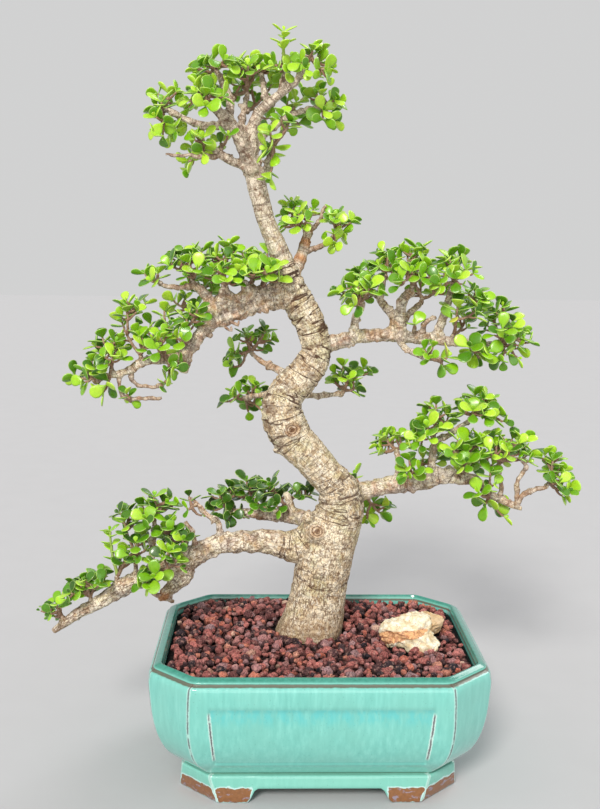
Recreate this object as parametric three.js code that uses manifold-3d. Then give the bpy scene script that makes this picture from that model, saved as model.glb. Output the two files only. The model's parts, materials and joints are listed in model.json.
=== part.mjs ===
// Dwarf jade bonsai with its pot: one old trunk with its limbs, leafy sprays on their
// twigs, lava-rock gravel, an ornamental stone and a glazed eight-sided pot.
// Millimetres, +Z up, +X to the right and +Y to the back as the tree is shown.

import * as THREE from "three";
import { mergeVertices } from "three/addons/utils/BufferGeometryUtils.js";
import Module from "manifold-3d";

// Sizes that drive the rest

const WELD = 0.001; // corners nearer to each other than this are one
const GAP = 0.32; // air between pieces that rest on or stand in each other
const RIM_TOP = 128; // height of the pot over the table
const BASE_UNDERSIDE = 14; // underside of the pot between its feet
const FLOOR_TOP = 24; // inside floor of the pot
const FRONT_TO_SIDE = 35; // the half depth is this much less than the half width
const CUT_DEEPER = 36 / 38; // corner cut along Y for each millimetre along X
const PANEL_DEPTH = 2;
const SOIL_LEVEL = 122;
const LEAF_WIDTH = 0.37; // half width of a leaf for each millimetre of length
const LEAF_BELLY = 2.2; // thickness of a leaf at its middle
const DEPTH_SPREAD = 1.3; // how much wider the foliage spreads front to back than listed

// The tree was measured in the upright plane through its trunk. A point in front of or
// behind that plane is moved along the line of sight of a viewer a metre away.

const EYE = new THREE.Vector3(-45, -987, 505);
const TRUNK_PLANE = 25;

function placed(x, z, y) {
  const reach = (y - EYE.y) / (TRUNK_PLANE - EYE.y);
  return new THREE.Vector3(EYE.x + (x - EYE.x) * reach, y, EYE.z + (z - EYE.z) * reach);
}

// Solids

const wasm = await Module();
wasm.setup();

function solidOf(geometry) {
  const bare = geometry.clone();
  bare.deleteAttribute("normal");
  bare.deleteAttribute("uv");
  const merged = mergeVertices(bare, WELD);
  const vertProperties = new Float32Array(merged.attributes.position.array);
  const triVerts = new Uint32Array(merged.index.array);
  return new wasm.Manifold(new wasm.Mesh({ numProp: 3, vertProperties, triVerts }));
}

function solidFrom(points, faces) {
  const geometry = new THREE.BufferGeometry();
  geometry.setAttribute("position", new THREE.Float32BufferAttribute(points.flat(), 3));
  geometry.setIndex(faces.flat());
  return solidOf(geometry);
}

function joined(solids) {
  return solids.reduce((whole, solid) => whole.add(solid));
}

// Loose scraps are dropped, and a sealed hollow, which counts as a body of its own, is filled

function largestBody(solid) {
  const bodies = solid.decompose();
  return bodies.reduce((best, body) => (body.volume() > best.volume() ? body : best));
}

// A closed skin over rings of points, each ring with as many points as the next

function skin(rings) {
  const sides = rings[0].length;
  const points = rings.flat();
  const faces = [];
  for (let ring = 0; ring < rings.length - 1; ring += 1) {
    for (let side = 0; side < sides; side += 1) {
      const next = (side + 1) % sides;
      const low = ring * sides;
      const high = low + sides;
      faces.push([low + side, low + next, high + next]);
      faces.push([low + side, high + next, high + side]);
    }
  }
  const last = (rings.length - 1) * sides;
  for (let side = 1; side < sides - 1; side += 1) {
    faces.push([0, side + 1, side]);
    faces.push([last, last + side, last + side + 1]);
  }
  return solidFrom(points, faces);
}

// A limb through points [x, z, depth, radius]; extra thickens it all round

function limb(points, sides, extra = 0) {
  const middles = points.map(([x, z, depth]) => placed(x, z, depth));
  const last = middles.length - 1;
  const along = middles.map((_, index) => {
    const before = middles[Math.max(index - 1, 0)];
    const after = middles[Math.min(index + 1, last)];
    return after.clone().sub(before).normalize();
  });
  let side = new THREE.Vector3(0, 1, 0).cross(along[0]);
  if (side.length() < 0.1) side = new THREE.Vector3(1, 0, 0).cross(along[0]);
  const rings = middles.map((middle, index) => {
    side.addScaledVector(along[index], -side.dot(along[index])).normalize();
    const other = along[index].clone().cross(side);
    const radius = points[index][3] + extra;
    const centre = middle.clone();
    if (index === 0) centre.addScaledVector(along[0], -extra);
    if (index === last) centre.addScaledVector(along[last], extra);
    const ring = [];
    for (let corner = 0; corner < sides; corner += 1) {
      const angle = (2 * Math.PI * corner) / sides;
      const point = centre.clone()
        .addScaledVector(side, radius * Math.cos(angle))
        .addScaledVector(other, radius * Math.sin(angle));
      ring.push(point.toArray());
    }
    return ring;
  });
  return skin(rings);
}

// Wood: trunk, limbs and the thick twigs, each [x, z, depth, radius] from its foot up

const TRUNK = [
  [-5, 96, 26, 31], [-6, 112, 26, 34], [-6, 123, 26, 36], [-2, 136, 26, 32],
  [2.5, 150, 25, 28.5], [3.5, 165, 25, 27.5], [5, 180, 24, 28], [9, 197, 23, 27],
  [14, 215, 22, 26], [20, 235, 21, 25], [23, 249, 20, 22.8], [19, 268, 18, 19.8],
  [9, 279, 17, 17.5], [-7, 298, 15, 18], [-25, 317, 14, 19.5], [-34, 334, 14, 21],
  [-36, 350, 15, 19.5], [-28, 366, 16, 17.5], [-13, 383, 18, 16.8], [-4, 398, 19, 15],
  [-4, 411, 20, 14.2], [-10, 430, 21, 15], [-21.5, 450, 22, 15.6], [-34, 479, 21, 12],
  [-42, 502, 19, 9.6], [-52, 525, 17, 8.6], [-59, 550, 15, 9], [-63, 566, 13, 9.3],
  [-68, 580, 12, 8.2],
];

const LIMBS = [
  // lower left limb with its cut stub and twigs
  [[-4, 218, 22, 15], [-22, 208, 20, 16], [-38, 210, 18, 13], [-60, 212, 15, 11.2],
    [-90, 211, 11, 10.2], [-106, 206, 9, 10.6], [-122, 198, 6, 11], [-136, 188, 4, 10.4],
    [-160, 180, 0, 9.2], [-185, 169, -4, 9], [-201, 160, -6, 8.4], [-220, 147, -10, 6.6],
    [-236, 139, -13, 5.8], [-251, 128, -15, 4.4], [-264, 118, -16, 2.8]],
  [[-128, 184, 4, 7], [-132, 176, 2, 8], [-155, 154, -2, 7.4]],
  [[-166, 180, 0, 4], [-165, 192, 0, 3.4], [-161, 229, 2, 2.8]],
  [[-139, 184, 4, 3], [-140, 199, 2, 2.2]],
  [[-97, 211, 10, 3.4], [-99, 233, 8, 2.8], [-108, 238, 8, 2.6], [-119, 250, 9, 2.2],
    [-126, 257, 10, 1.6]],
  [[-119, 202, 6, 3], [-124, 222, 2, 2.2], [-131, 232, 0, 1.6]],
  // branch behind, low on the left
  [[-2, 232, 30, 9], [-22, 238, 50, 7.6], [-45, 240, 63, 6.4], [-70, 241, 73, 5],
    [-92, 243, 78, 3.4]],
  [[-22, 238, 48, 4.4], [-32, 262, 44, 3.6]],
  // lower right limb
  [[20, 262, 26, 13], [40, 263, 30, 9.6], [60, 268, 28, 8.8], [82, 272, 25, 8.4],
    [100, 272, 21, 7.6], [115, 276, 18, 7.2], [126, 280, 16, 8], [141, 277, 14, 6],
    [156, 275, 12, 5.4], [172, 261, 8, 4.1], [187, 253, 4, 3.4], [204, 246, 0, 2.4]],
  [[80, 272, 25, 4], [79, 288, 27, 3.2], [78, 305, 31, 2.6]],
  [[112, 276, 18, 5], [112, 292, 18, 4], [116, 314, 18, 3.6], [129, 321, 16, 3],
    [150, 337, 14, 2.4]],
  [[180, 257, 6, 2.6], [182, 268, 5, 2.2], [177, 290, 6, 1.9]],
  [[199, 248, 1, 2.4], [198, 274, 1, 2], [206, 289, 2, 1.9], [200, 297, 2, 1.7]],
  [[196, 250, 2, 2.8], [210, 264, 0, 2.4], [227, 269, -2, 2]],
  // upper right limb
  [[-4, 408, 20, 9], [16, 411, 24, 7.6], [33, 416, 23, 7], [50, 418, 20, 6.6],
    [68, 419, 18, 6.5], [84, 417, 16, 6], [100, 416, 14, 6], [113, 415, 12, 5.6],
    [125, 413, 10, 4.8], [155, 411, 6, 3.2], [173, 411, 4, 2.6]],
  [[33, 416, 20, 4.6], [34, 434, 14, 4], [39, 443, 10, 3.6], [41, 450, 8, 3]],
  [[69, 420, 18, 5], [72, 434, 19, 4.6], [64, 444, 21, 4.2], [57, 454, 23, 3.8],
    [60, 465, 24, 3.2], [60, 476, 24, 2.6]],
  [[76, 420, 17, 5.8], [77, 437, 17, 5.6], [80, 453, 16, 5], [89, 462, 16, 4]],
  [[78, 424, 20, 4], [84, 437, 30, 3.6], [97, 450, 40, 3]],
  [[113, 415, 12, 5.2], [117, 431, 9, 4.6], [122, 443, 7, 4.2], [124, 455, 5, 3.6],
    [127, 467, 4, 3]],
  [[99, 418, 14, 3], [101, 431, 8, 2.4], [112, 436, 4, 1.8]],
  [[76, 418, 14, 4], [80, 409, 6, 3.4], [88, 403, 0, 2.9], [104, 396, -5, 2.2],
    [124, 395, -9, 1.4]],
  // upper left limb with its forks, the cut stub and the long side branch
  [[-24, 457, 21, 14], [-40, 455, 20, 13], [-54, 451, 17, 11], [-70, 444, 14, 9.2],
    [-85, 438, 10, 8.6], [-100, 431, 6, 8]],
  [[-98, 434, 6, 6.6], [-105, 448, 4, 5.2], [-113, 459, 2, 4.6], [-122, 466, 0, 3.6]],
  [[-96, 434, 7, 7.4], [-109, 425, 3, 6.4], [-118, 414, 0, 5.6], [-124, 404, -1, 5.2],
    [-128, 396, -2, 5], [-132, 380, -3, 4.6]],
  [[-110, 424, 3, 3], [-105, 416, -4, 2.4]],
  [[-123, 405, -1, 5], [-138, 395, -5, 4.8], [-160, 393, -11, 4.4], [-173, 390, -13, 4],
    [-184, 382, -15, 3.6], [-203, 377, -17, 3.1], [-220, 371, -18, 2.5]],
  [[-181, 383, -15, 2.4], [-182, 373, -14, 1.9], [-173, 367, -12, 1.7],
    [-153, 367, -10, 1.5]],
  [[-196, 378, -16, 2.4], [-192, 364, -20, 2], [-187, 355, -22, 1.8],
    [-153, 356, -18, 1.6]],
  [[-120, 465, 0, 3], [-136, 462, -2, 2.4], [-154, 466, -2, 1.9]],
  [[-76, 444, 12, 4], [-72, 456, 6, 2.8], [-75, 468, 2, 1.9]],
  [[-92, 436, 8, 4.4], [-96, 450, 2, 3.4], [-93, 462, 0, 2.6]],
  // torn stub on the shoulder
  [[-26, 478, 24, 7], [-19, 492, 29, 5.4], [-14, 510, 32, 4.6], [-10, 523, 33, 3.4]],
  [[-11, 518, 33, 2.4], [-4, 524, 30, 1.9], [4, 541, 28, 1.4]],
  [[-16, 498, 30, 3], [2, 504, 30, 2.2], [19, 521, 32, 1.6]],
  // twigs of the cluster behind the trunk
  [[-24, 374, 28, 5], [-42, 385, 48, 3.8], [-56, 392, 60, 3], [-66, 400, 66, 2.2]],
  [[-34, 362, 26, 5], [-52, 360, 50, 3.4], [-75, 356, 64, 2.2]],
  [[-24, 362, 28, 5], [-4, 359, 50, 3.2], [24, 361, 60, 2.2]],
  // crown
  [[-63, 568, 13, 7], [-74, 577, 9, 4.6], [-87, 582, 5, 4], [-97, 588, 2, 3.6],
    [-106, 597, 0, 2.8]],
  [[-96, 586, 2, 2.6], [-120, 585, -6, 1.9], [-147, 587, -12, 1.4]],
  [[-66, 576, 12, 8], [-73, 592, 9, 7], [-81, 608, 5, 6.2], [-91, 620, 2, 5],
    [-106, 633, -2, 3.4]],
  [[-86, 613, 3, 4.4], [-103, 613, -2, 3.8], [-117, 615, -7, 3.4], [-133, 621, -10, 3],
    [-145, 628, -12, 2.4]],
  [[-88, 616, 3, 4.4], [-87, 638, 6, 3.8], [-94, 652, 8, 3.2], [-99, 663, 9, 2.4]],
  [[-78, 604, 8, 4], [-74, 628, 22, 2.8], [-70, 642, 30, 2]],
  [[-66, 578, 12, 8], [-67, 604, 12, 6.2], [-61, 624, 12, 5.2], [-51, 634, 11, 4.6],
    [-40, 643, 10, 4], [-27, 653, 8, 3.2], [-20, 664, 6, 2.6], [-15, 678, 5, 1.9]],
  [[-51, 634, 11, 3.6], [-56, 650, 20, 2.8], [-57, 668, 26, 2]],
  [[-40, 643, 10, 3.4], [-36, 660, 8, 2.8], [-34, 673, 7, 2.4]],
  [[-66, 590, 13, 6], [-56, 605, 20, 4.2], [-40, 618, 26, 3.6], [-25, 626, 30, 3],
    [-6, 631, 32, 2.2]],
  [[-59, 560, 14, 5], [-51, 578, 4, 3.8], [-46, 597, -6, 3.2], [-34, 612, -12, 2.4]],
];

const TRUNK_SIDES = 11;

function limbSides(points) {
  const thickest = Math.max(...points.map((point) => point[3]));
  if (thickest > 8) return 7;
  return thickest > 4.5 ? 5 : 4;
}

function wood(extra) {
  const parts = LIMBS.map((points) => limb(points, limbSides(points), extra));
  return joined([limb(TRUNK, TRUNK_SIDES, extra), ...parts]);
}

// Leafy sprays. Each starts on the wood at [x, z, depth] and sends out shoots, each
// [x, z, depth of its tip, leaf pairs, leaf length].

const SPRAYS = {
  low_left_tip: [[-250, 129, -15], [
    [-274, 147, -16, 2, 14], [-264, 150, -26, 2, 13], [-271, 133, -4, 2, 12],
    [-257, 152, -6, 2, 13]]],
  low_left_outer: [[-225, 145, -11], [
    [-243, 166, -14, 2, 15], [-250, 158, -28, 2, 13], [-231, 172, -22, 2, 14],
    [-228, 166, 14, 2, 14], [-218, 177, -8, 2, 15], [-206, 181, 4, 2, 14],
    [-212, 170, -26, 2, 13]]],
  low_left_spire: [[-200, 164, -6], [
    [-206, 226, -8, 5, 11], [-194, 198, 14, 2, 14], [-190, 196, -20, 2, 14]]],
  low_left_crest: [[-180, 176, -3], [
    [-193, 238, -6, 3, 15], [-186, 246, 10, 2, 15], [-180, 214, -20, 2, 15],
    [-176, 224, 28, 3, 15]]],
  low_left_top: [[-161, 228, 2], [
    [-163, 262, 0, 3, 15], [-149, 256, 8, 2, 15], [-176, 251, 14, 2, 15],
    [-173, 234, -18, 2, 15], [-160, 244, 32, 2, 14]]],
  low_left_inner: [[-140, 198, 2], [
    [-150, 236, -10, 3, 15], [-139, 226, 6, 2, 15], [-132, 215, -18, 2, 14],
    [-124, 207, 8, 2, 13], [-146, 224, 32, 2, 14]]],
  low_left_front: [[-156, 182, -2], [
    [-150, 206, -26, 2, 15], [-136, 195, -26, 2, 14], [-164, 172, -30, 3, 16],
    [-178, 163, -18, 2, 14]]],
  back_left_outer: [[-90, 243, 78], [
    [-99, 262, 66, 2, 15], [-97, 250, 94, 2, 16], [-84, 271, 84, 3, 16],
    [-84, 236, 62, 2, 14]]],
  back_left_middle: [[-62, 241, 71], [
    [-72, 278, 68, 3, 16], [-58, 268, 88, 2, 15], [-76, 262, 104, 2, 15],
    [-60, 252, 52, 2, 14], [-50, 250, 96, 2, 15]]],
  back_left_inner: [[-34, 239, 58], [
    [-50, 276, 62, 3, 16], [-38, 264, 80, 2, 15], [-14, 268, 62, 2, 14],
    [-3, 262, 70, 2, 13], [-43, 248, 42, 2, 14]]],
  low_right_rear_twig: [[78, 303, 31], [
    [62, 322, 44, 2, 14], [73, 318, 58, 2, 14], [57, 304, 40, 2, 13],
    [90, 314, 44, 2, 13]]],
  low_right_rosette: [[115, 310, 18], [
    [105, 332, 0, 3, 18], [94, 314, -6, 2, 14], [115, 357, 22, 3, 15],
    [130, 342, 36, 2, 15], [102, 342, 38, 2, 14]]],
  low_right_peak: [[148, 336, 14], [
    [153, 366, 14, 2, 15], [164, 360, 26, 2, 15], [141, 347, 34, 2, 15],
    [150, 346, -8, 2, 15], [168, 347, 0, 2, 16], [181, 342, 12, 2, 15]]],
  low_right_heart: [[140, 278, 14], [
    [146, 317, -2, 3, 17], [130, 306, -10, 2, 15], [162, 322, 6, 2, 15],
    [147, 292, -16, 2, 15], [142, 308, 48, 3, 15],
    [160, 300, 46, 3, 15], [178, 290, 40, 2, 15], [150, 284, 40, 2, 14]]],
  low_right_twig: [[177, 288, 6], [
    [171, 324, 14, 2, 14], [186, 308, 26, 2, 15], [194, 322, 4, 2, 14],
    [166, 306, -12, 2, 15], [207, 315, -4, 2, 15], [191, 307, -14, 2, 14],
    [212, 302, 14, 2, 14]]],
  low_right_tip: [[226, 269, -2], [
    [233, 301, -4, 3, 14], [222, 306, 10, 2, 14], [244, 273, -12, 2, 15],
    [252, 264, 4, 2, 15], [240, 286, 16, 2, 14]]],
  low_right_hanging: [[170, 262, 9], [
    [165, 245, -2, 2, 17], [157, 264, -12, 2, 16], [171, 288, -10, 2, 16],
    [182, 246, 18, 2, 14]]],
  low_right_front: [[100, 272, 21], [
    [98, 284, -6, 3, 15], [104, 298, 52, 2, 15], [122, 302, 58, 2, 15],
    [84, 288, 0, 2, 13]]],
  low_right_behind: [[48, 264, 30], [
    [57, 250, 58, 2, 15], [67, 240, 62, 2, 14], [47, 236, 58, 2, 14],
    [34, 284, 50, 2, 13]]],
  up_right_inner: [[41, 448, 8], [
    [29, 444, -4, 2, 14], [36, 463, -2, 2, 15], [50, 468, -8, 2, 16]]],
  up_right_left: [[57, 454, 23], [
    [15, 459, 34, 3, 16], [28, 471, 34, 2, 15], [36, 482, 50, 2, 14],
    [34, 456, 58, 2, 14], [44, 478, 14, 2, 16]]],
  up_right_crest: [[60, 474, 24], [
    [52, 489, 26, 2, 15], [66, 499, 32, 2, 15], [72, 486, 6, 2, 16],
    [60, 486, 50, 2, 14]]],
  up_right_top: [[88, 461, 16], [
    [82, 500, 20, 3, 16], [97, 506, 12, 2, 16], [86, 482, -10, 2, 16],
    [105, 490, 0, 2, 16], [74, 470, -12, 2, 15]]],
  up_right_rear: [[97, 449, 40], [
    [84, 488, 56, 2, 15], [101, 498, 50, 2, 15], [112, 484, 66, 2, 15],
    [96, 464, 74, 2, 14], [118, 466, 52, 2, 15]]],
  up_right_peak: [[127, 465, 4], [
    [122, 500, 6, 2, 16], [135, 496, 18, 2, 15], [144, 486, -2, 2, 15],
    [110, 474, -18, 2, 16], [132, 474, -20, 2, 16]]],
  up_right_shoulder: [[126, 413, 10], [
    [133, 452, -6, 2, 17], [150, 466, 8, 3, 15], [158, 449, -4, 2, 17],
    [141, 436, 44, 2, 15], [156, 456, 36, 2, 14]]],
  up_right_outer: [[171, 411, 4], [
    [176, 452, 8, 3, 15], [190, 438, -2, 2, 15], [177, 428, -16, 2, 15],
    [168, 438, 30, 2, 14], [196, 424, 20, 2, 14],
    [200, 418, -6, 2, 14], [197, 404, 6, 2, 14], [186, 396, -6, 2, 14]]],
  up_right_low: [[148, 411, 7], [
    [144, 408, -14, 2, 17], [151, 396, 6, 2, 15], [167, 403, -12, 2, 16],
    [160, 398, 26, 2, 14]]],
  up_right_hanging: [[116, 396, -8], [
    [129, 400, -16, 2, 14], [122, 384, -8, 2, 15], [99, 401, -18, 2, 13]]],
  up_left_tip: [[-214, 373, -18], [
    [-232, 367, -22, 2, 14], [-227, 384, -12, 2, 14], [-240, 378, -4, 2, 14],
    [-216, 388, -30, 2, 14]]],
  up_left_outer: [[-198, 378, -17], [
    [-212, 419, -14, 2, 15], [-200, 400, -26, 2, 15], [-216, 402, 0, 2, 14],
    [-196, 412, -2, 2, 15], [-208, 361, -26, 2, 18]]],
  up_left_tall: [[-172, 390, -13], [
    [-186, 450, 0, 3, 14], [-172, 452, 10, 2, 14], [-192, 432, 14, 2, 14],
    [-168, 410, -24, 2, 15], [-176, 420, -18, 2, 14]]],
  up_left_middle: [[-152, 394, -8], [
    [-155, 420, -16, 2, 15], [-158, 404, -30, 2, 15], [-142, 430, -14, 2, 15],
    [-150, 444, 6, 2, 14], [-164, 430, 20, 2, 14],
    [-144, 374, -14, 2, 13], [-138, 381, -22, 2, 13]]],
  up_left_fork: [[-124, 404, -1], [
    [-129, 438, -8, 2, 14], [-135, 414, -26, 2, 15], [-140, 404, 24, 2, 14],
    [-116, 446, -18, 2, 14]]],
  up_left_twig: [[-152, 465, -2], [
    [-166, 468, -8, 2, 13], [-155, 481, 0, 2, 14], [-171, 477, 10, 2, 13]]],
  up_left_crest: [[-121, 465, 0], [
    [-126, 498, 2, 2, 15], [-138, 492, 14, 2, 14], [-148, 488, -6, 2, 14],
    [-117, 482, -20, 2, 15], [-110, 500, 12, 2, 15]]],
  up_left_rear: [[-99, 432, 6], [
    [-112, 472, 46, 3, 15], [-130, 464, 54, 2, 15], [-94, 482, 54, 2, 15],
    [-122, 444, 50, 2, 14], [-145, 452, 42, 2, 14]]],
  up_left_top: [[-93, 460, 0], [
    [-88, 509, 8, 3, 15], [-101, 498, 22, 2, 15], [-92, 485, -12, 2, 15],
    [-106, 484, -8, 2, 14], [-82, 474, -18, 2, 14]]],
  up_left_inner: [[-71, 446, 14], [
    [-77, 500, 24, 3, 15], [-74, 487, -4, 2, 15], [-62, 490, 10, 2, 15],
    [-60, 476, -12, 2, 15], [-66, 474, 42, 2, 14]]],
  up_left_collar: [[-59, 449, 16], [
    [-50, 502, 24, 3, 17], [-44, 486, -8, 2, 17], [-62, 490, 42, 2, 15],
    [-54, 478, -14, 2, 15]]],
  shoulder_left: [[-13, 514, 32], [
    [-24, 538, 26, 2, 14], [-37, 530, 38, 2, 14], [-30, 544, 46, 2, 14],
    [-6, 540, 48, 2, 13], [-26, 524, 14, 2, 14]]],
  shoulder_right: [[18, 520, 32], [
    [8, 534, 24, 2, 14], [23, 512, 38, 2, 14], [19, 530, 46, 2, 14],
    [12, 502, 22, 2, 14]]],
  behind_upper: [[-64, 398, 65], [
    [-88, 401, 62, 2, 15], [-74, 424, 68, 2, 14], [-84, 382, 78, 2, 15],
    [-58, 412, 84, 2, 15], [-50, 426, 66, 2, 14]]],
  behind_lower: [[-73, 356, 63], [
    [-88, 358, 60, 2, 14], [-70, 350, 84, 2, 14], [-58, 366, 82, 2, 15],
    [-52, 348, 68, 2, 13]]],
  behind_right: [[22, 361, 60], [
    [40, 366, 64, 2, 14], [32, 385, 60, 2, 15], [46, 388, 74, 2, 14],
    [22, 392, 76, 2, 14], [16, 374, 82, 2, 14]]],
  crown_left_low: [[-105, 596, 0], [
    [-113, 584, -6, 2, 15], [-130, 577, 4, 2, 14], [-112, 606, -14, 2, 15],
    [-124, 596, 24, 2, 14]]],
  crown_left_tip: [[-144, 627, -12], [
    [-152, 640, -14, 3, 15], [-160, 630, -4, 2, 14], [-149, 611, -18, 2, 15],
    [-136, 604, -8, 2, 15], [-142, 645, 8, 2, 14]]],
  crown_left: [[-105, 632, -2], [
    [-111, 628, -26, 2, 16], [-122, 646, -14, 3, 15], [-103, 644, -22, 2, 16],
    [-128, 634, 18, 2, 15], [-116, 652, 10, 2, 15]]],
  crown_left_top: [[-98, 661, 9], [
    [-115, 668, 4, 2, 15], [-104, 678, 12, 2, 16], [-90, 674, -6, 2, 15],
    [-108, 662, 32, 2, 15]]],
  crown_middle: [[-71, 640, 29], [
    [-84, 675, 24, 2, 15], [-70, 660, 42, 2, 15], [-80, 652, 56, 2, 15],
    [-92, 644, 46, 2, 15], [-60, 678, 30, 2, 15], [-48, 684, 20, 2, 15],
    [-70, 672, 6, 2, 14]]],
  crown_peak: [[-34, 671, 7], [
    [-37, 697, 6, 3, 11], [-26, 690, 16, 2, 14], [-46, 686, -2, 2, 14],
    [-42, 680, 22, 2, 14], [-30, 676, -10, 2, 14]]],
  crown_right: [[-16, 676, 5], [
    [-12, 688, 2, 2, 14], [1, 670, 14, 2, 14], [-25, 678, -14, 2, 15],
    [5, 663, -8, 2, 14]]],
  crown_right_tip: [[-7, 631, 32], [
    [1, 627, 18, 2, 16], [12, 641, 30, 2, 15], [12, 624, 44, 2, 15],
    [-8, 648, 40, 2, 15]]],
  crown_front: [[-46, 597, -6], [
    [-28, 622, -20, 2, 14], [-40, 628, -24, 2, 14], [-50, 612, -26, 2, 14],
    [-57, 590, -14, 2, 16], [-44, 583, -10, 2, 15], [-50, 562, -10, 2, 14]]],
};

// A seeded random draw between 0 and 1, the same each time for the same four numbers

function draw(spray, shoot, leaf, which) {
  const wave = Math.sin(spray * 12.9898 + shoot * 78.233 + leaf * 37.719 + which * 4.581);
  const large = wave * 43758.5453;
  return large - Math.floor(large);
}

// One shoot: a three-sided twig from its foot to its tip, where it opens into an opposite
// pair of leaves. Each leaf is a round-ended blade with a belly on both faces; it leans
// out from the direction of growth, its upper face to the twig's axis. All is one skin.

const LEAF_EDGE = [[0.45, 0.95], [0.98, 0.56], [0.98, -0.56], [0.45, -0.95]];
const LEAF_MIDDLE = 0.55;
const LEAF_CUP = 0.06; // how far the edges stand over the middle line, by length
const UPWARD = 0.6; // pull of the light on the growing tip
const TWIG_TIP = 1.35;

function shootSolid({ footRing, foot, tip, turn, leans, lengths }, extra = 0) {
  const along = tip.clone().sub(foot).normalize();
  const growth = along.clone().add(new THREE.Vector3(0, 0, UPWARD)).normalize();
  const level = new THREE.Vector3(1, 0, 0).cross(growth).normalize();
  const out = level.applyAxisAngle(growth, turn);
  const across = out.clone().cross(growth);
  const ways = [across, out, across.clone().negate()];
  const tipRing = ways.map((way) => tip.clone().addScaledVector(way, TWIG_TIP + extra));
  const twist = (first) => ways.reduce((sum, way, corner) => {
    const arm = footRing[(first + corner) % 3].clone().sub(foot);
    return sum + arm.dot(way);
  }, 0);
  const first = [0, 1, 2].reduce((best, shift) => (twist(shift) > twist(best) ? shift : best));
  const ringAtFoot = ways.map((_, corner) => {
    const point = footRing[(first + corner) % 3].clone();
    return point.addScaledVector(point.clone().sub(foot).normalize(), extra);
  });
  const points = [...ringAtFoot, ...tipRing, tip.clone().addScaledVector(growth, 1 + extra)];
  const top = 6;
  const faces = [[0, 2, 1]];
  for (let side = 0; side < 3; side += 1) {
    const next = (side + 1) % 3;
    faces.push([side, next, 3 + next], [side, 3 + next, 3 + side]);
  }
  for (const half of [0, 1]) {
    const sign = half === 0 ? 1 : -1;
    const length = lengths[half];
    const lean = leans[half];
    const blade = growth.clone().multiplyScalar(Math.cos(lean))
      .addScaledVector(out, sign * Math.sin(lean));
    const face = growth.clone().multiplyScalar(Math.sin(lean))
      .addScaledVector(out, -sign * Math.cos(lean));
    const at = (reach, width, height) => tip.clone().addScaledVector(blade, reach)
      .addScaledVector(across, sign * width)
      .addScaledVector(face, height);
    const start = points.length;
    for (const [reach, width] of LEAF_EDGE) {
      const wide = width * LEAF_WIDTH * length + Math.sign(width) * extra;
      points.push(at(reach * length + extra, wide, Math.abs(width) * LEAF_CUP * length));
    }
    const upper = points.length;
    points.push(at(LEAF_MIDDLE * length, 0, LEAF_BELLY / 2 + extra));
    points.push(at(LEAF_MIDDLE * length, 0, -LEAF_BELLY / 2 - extra));
    const edge = LEAF_EDGE.map((_, index) => start + index);
    const neck = half === 0 ? [3, 5] : [5, 3];
    const above = [neck[0], ...edge, neck[1], top];
    const below = half === 0 ? [neck[0], ...edge, neck[1], 4] : [neck[0], ...edge, neck[1]];
    above.forEach((point, index) => {
      faces.push([upper, point, above[(index + 1) % above.length]]);
    });
    below.forEach((point, index) => {
      faces.push([upper + 1, below[(index + 1) % below.length], point]);
    });
  }
  return solidFrom(points.map((point) => point.toArray()), faces);
}

// Radius of the wood where a spray starts. Its short stem ends in a twenty-faced knob
// just outside the bark, and each shoot grows from the face that looks its way.

const KNOB_CLEAR = 3.6;
const KNOB_RADIUS = 3;

function woodRadiusAt(point) {
  let nearest = { distance: Infinity, radius: 0 };
  for (const chain of [TRUNK, ...LIMBS]) {
    for (let index = 1; index < chain.length; index += 1) {
      const [x0, z0, y0, r0] = chain[index - 1];
      const [x1, z1, y1, r1] = chain[index];
      const segment = new THREE.Line3(placed(x0, z0, y0), placed(x1, z1, y1));
      const share = segment.closestPointToPointParameter(point, true);
      const distance = segment.at(share, new THREE.Vector3()).distanceTo(point);
      if (distance < nearest.distance) nearest = { distance, radius: r0 + (r1 - r0) * share };
    }
  }
  return nearest.radius;
}

function knobCentre(start, tips) {
  const towards = new THREE.Vector3();
  tips.forEach((tip) => towards.add(tip.clone().sub(start).normalize()));
  towards.normalize();
  return start.clone().addScaledVector(towards, woodRadiusAt(start) + KNOB_CLEAR);
}

function knobFaces(centre) {
  const ball = new THREE.IcosahedronGeometry(KNOB_RADIUS, 0);
  const position = ball.attributes.position;
  const faces = [];
  for (let corner = 0; corner < position.count; corner += 3) {
    const ring = [0, 1, 2].map((step) => new THREE.Vector3()
      .fromBufferAttribute(position, corner + step)
      .add(centre));
    const middle = ring[0].clone().add(ring[1]).add(ring[2]).divideScalar(3);
    faces.push({ ring, middle, looks: middle.clone().sub(centre).normalize(), taken: false });
  }
  return faces;
}

function freeFace(faces, centre, aim) {
  const way = aim.clone().sub(centre).normalize();
  const free = faces.filter((face) => !face.taken);
  return free.reduce((best, face) => (face.looks.dot(way) > best.looks.dot(way) ? face : best));
}

function knobSolid(start, centre, faces, extra) {
  const ball = new THREE.IcosahedronGeometry(KNOB_RADIUS + extra, 0);
  ball.translate(centre.x, centre.y, centre.z);
  const root = freeFace(faces, centre, start);
  root.taken = true;
  const grown = root.ring.map((corner) => corner.clone()
    .addScaledVector(corner.clone().sub(root.middle).normalize(), extra));
  const shift = start.clone().sub(root.middle);
  const stem = skin([
    grown.map((corner) => corner.toArray()),
    grown.map((corner) => corner.clone().add(shift).toArray()),
  ]);
  return solidOf(ball).add(stem);
}

// The shoots of all sprays, one after the other. A shoot stands clear of the wood and of
// every other spray; one in the way is turned on its axis or leans more, else left out.

const TRIES = [[0, 0], [0.8, 0], [1.6, 0.1], [2.4, -0.1], [0.4, 0.3], [2, -0.25]];
const LEAN = 0.62;
const CUTOFF = 1; // boxes farther apart than this can't touch

function boxesMeet(one, other) {
  return [0, 1, 2].every((axis) => one.min[axis] < other.max[axis] + CUTOFF
    && one.max[axis] > other.min[axis] - CUTOFF);
}

// The listed tip is the middle of the leaf pair, so the twig ends half a leaf short of it

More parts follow.
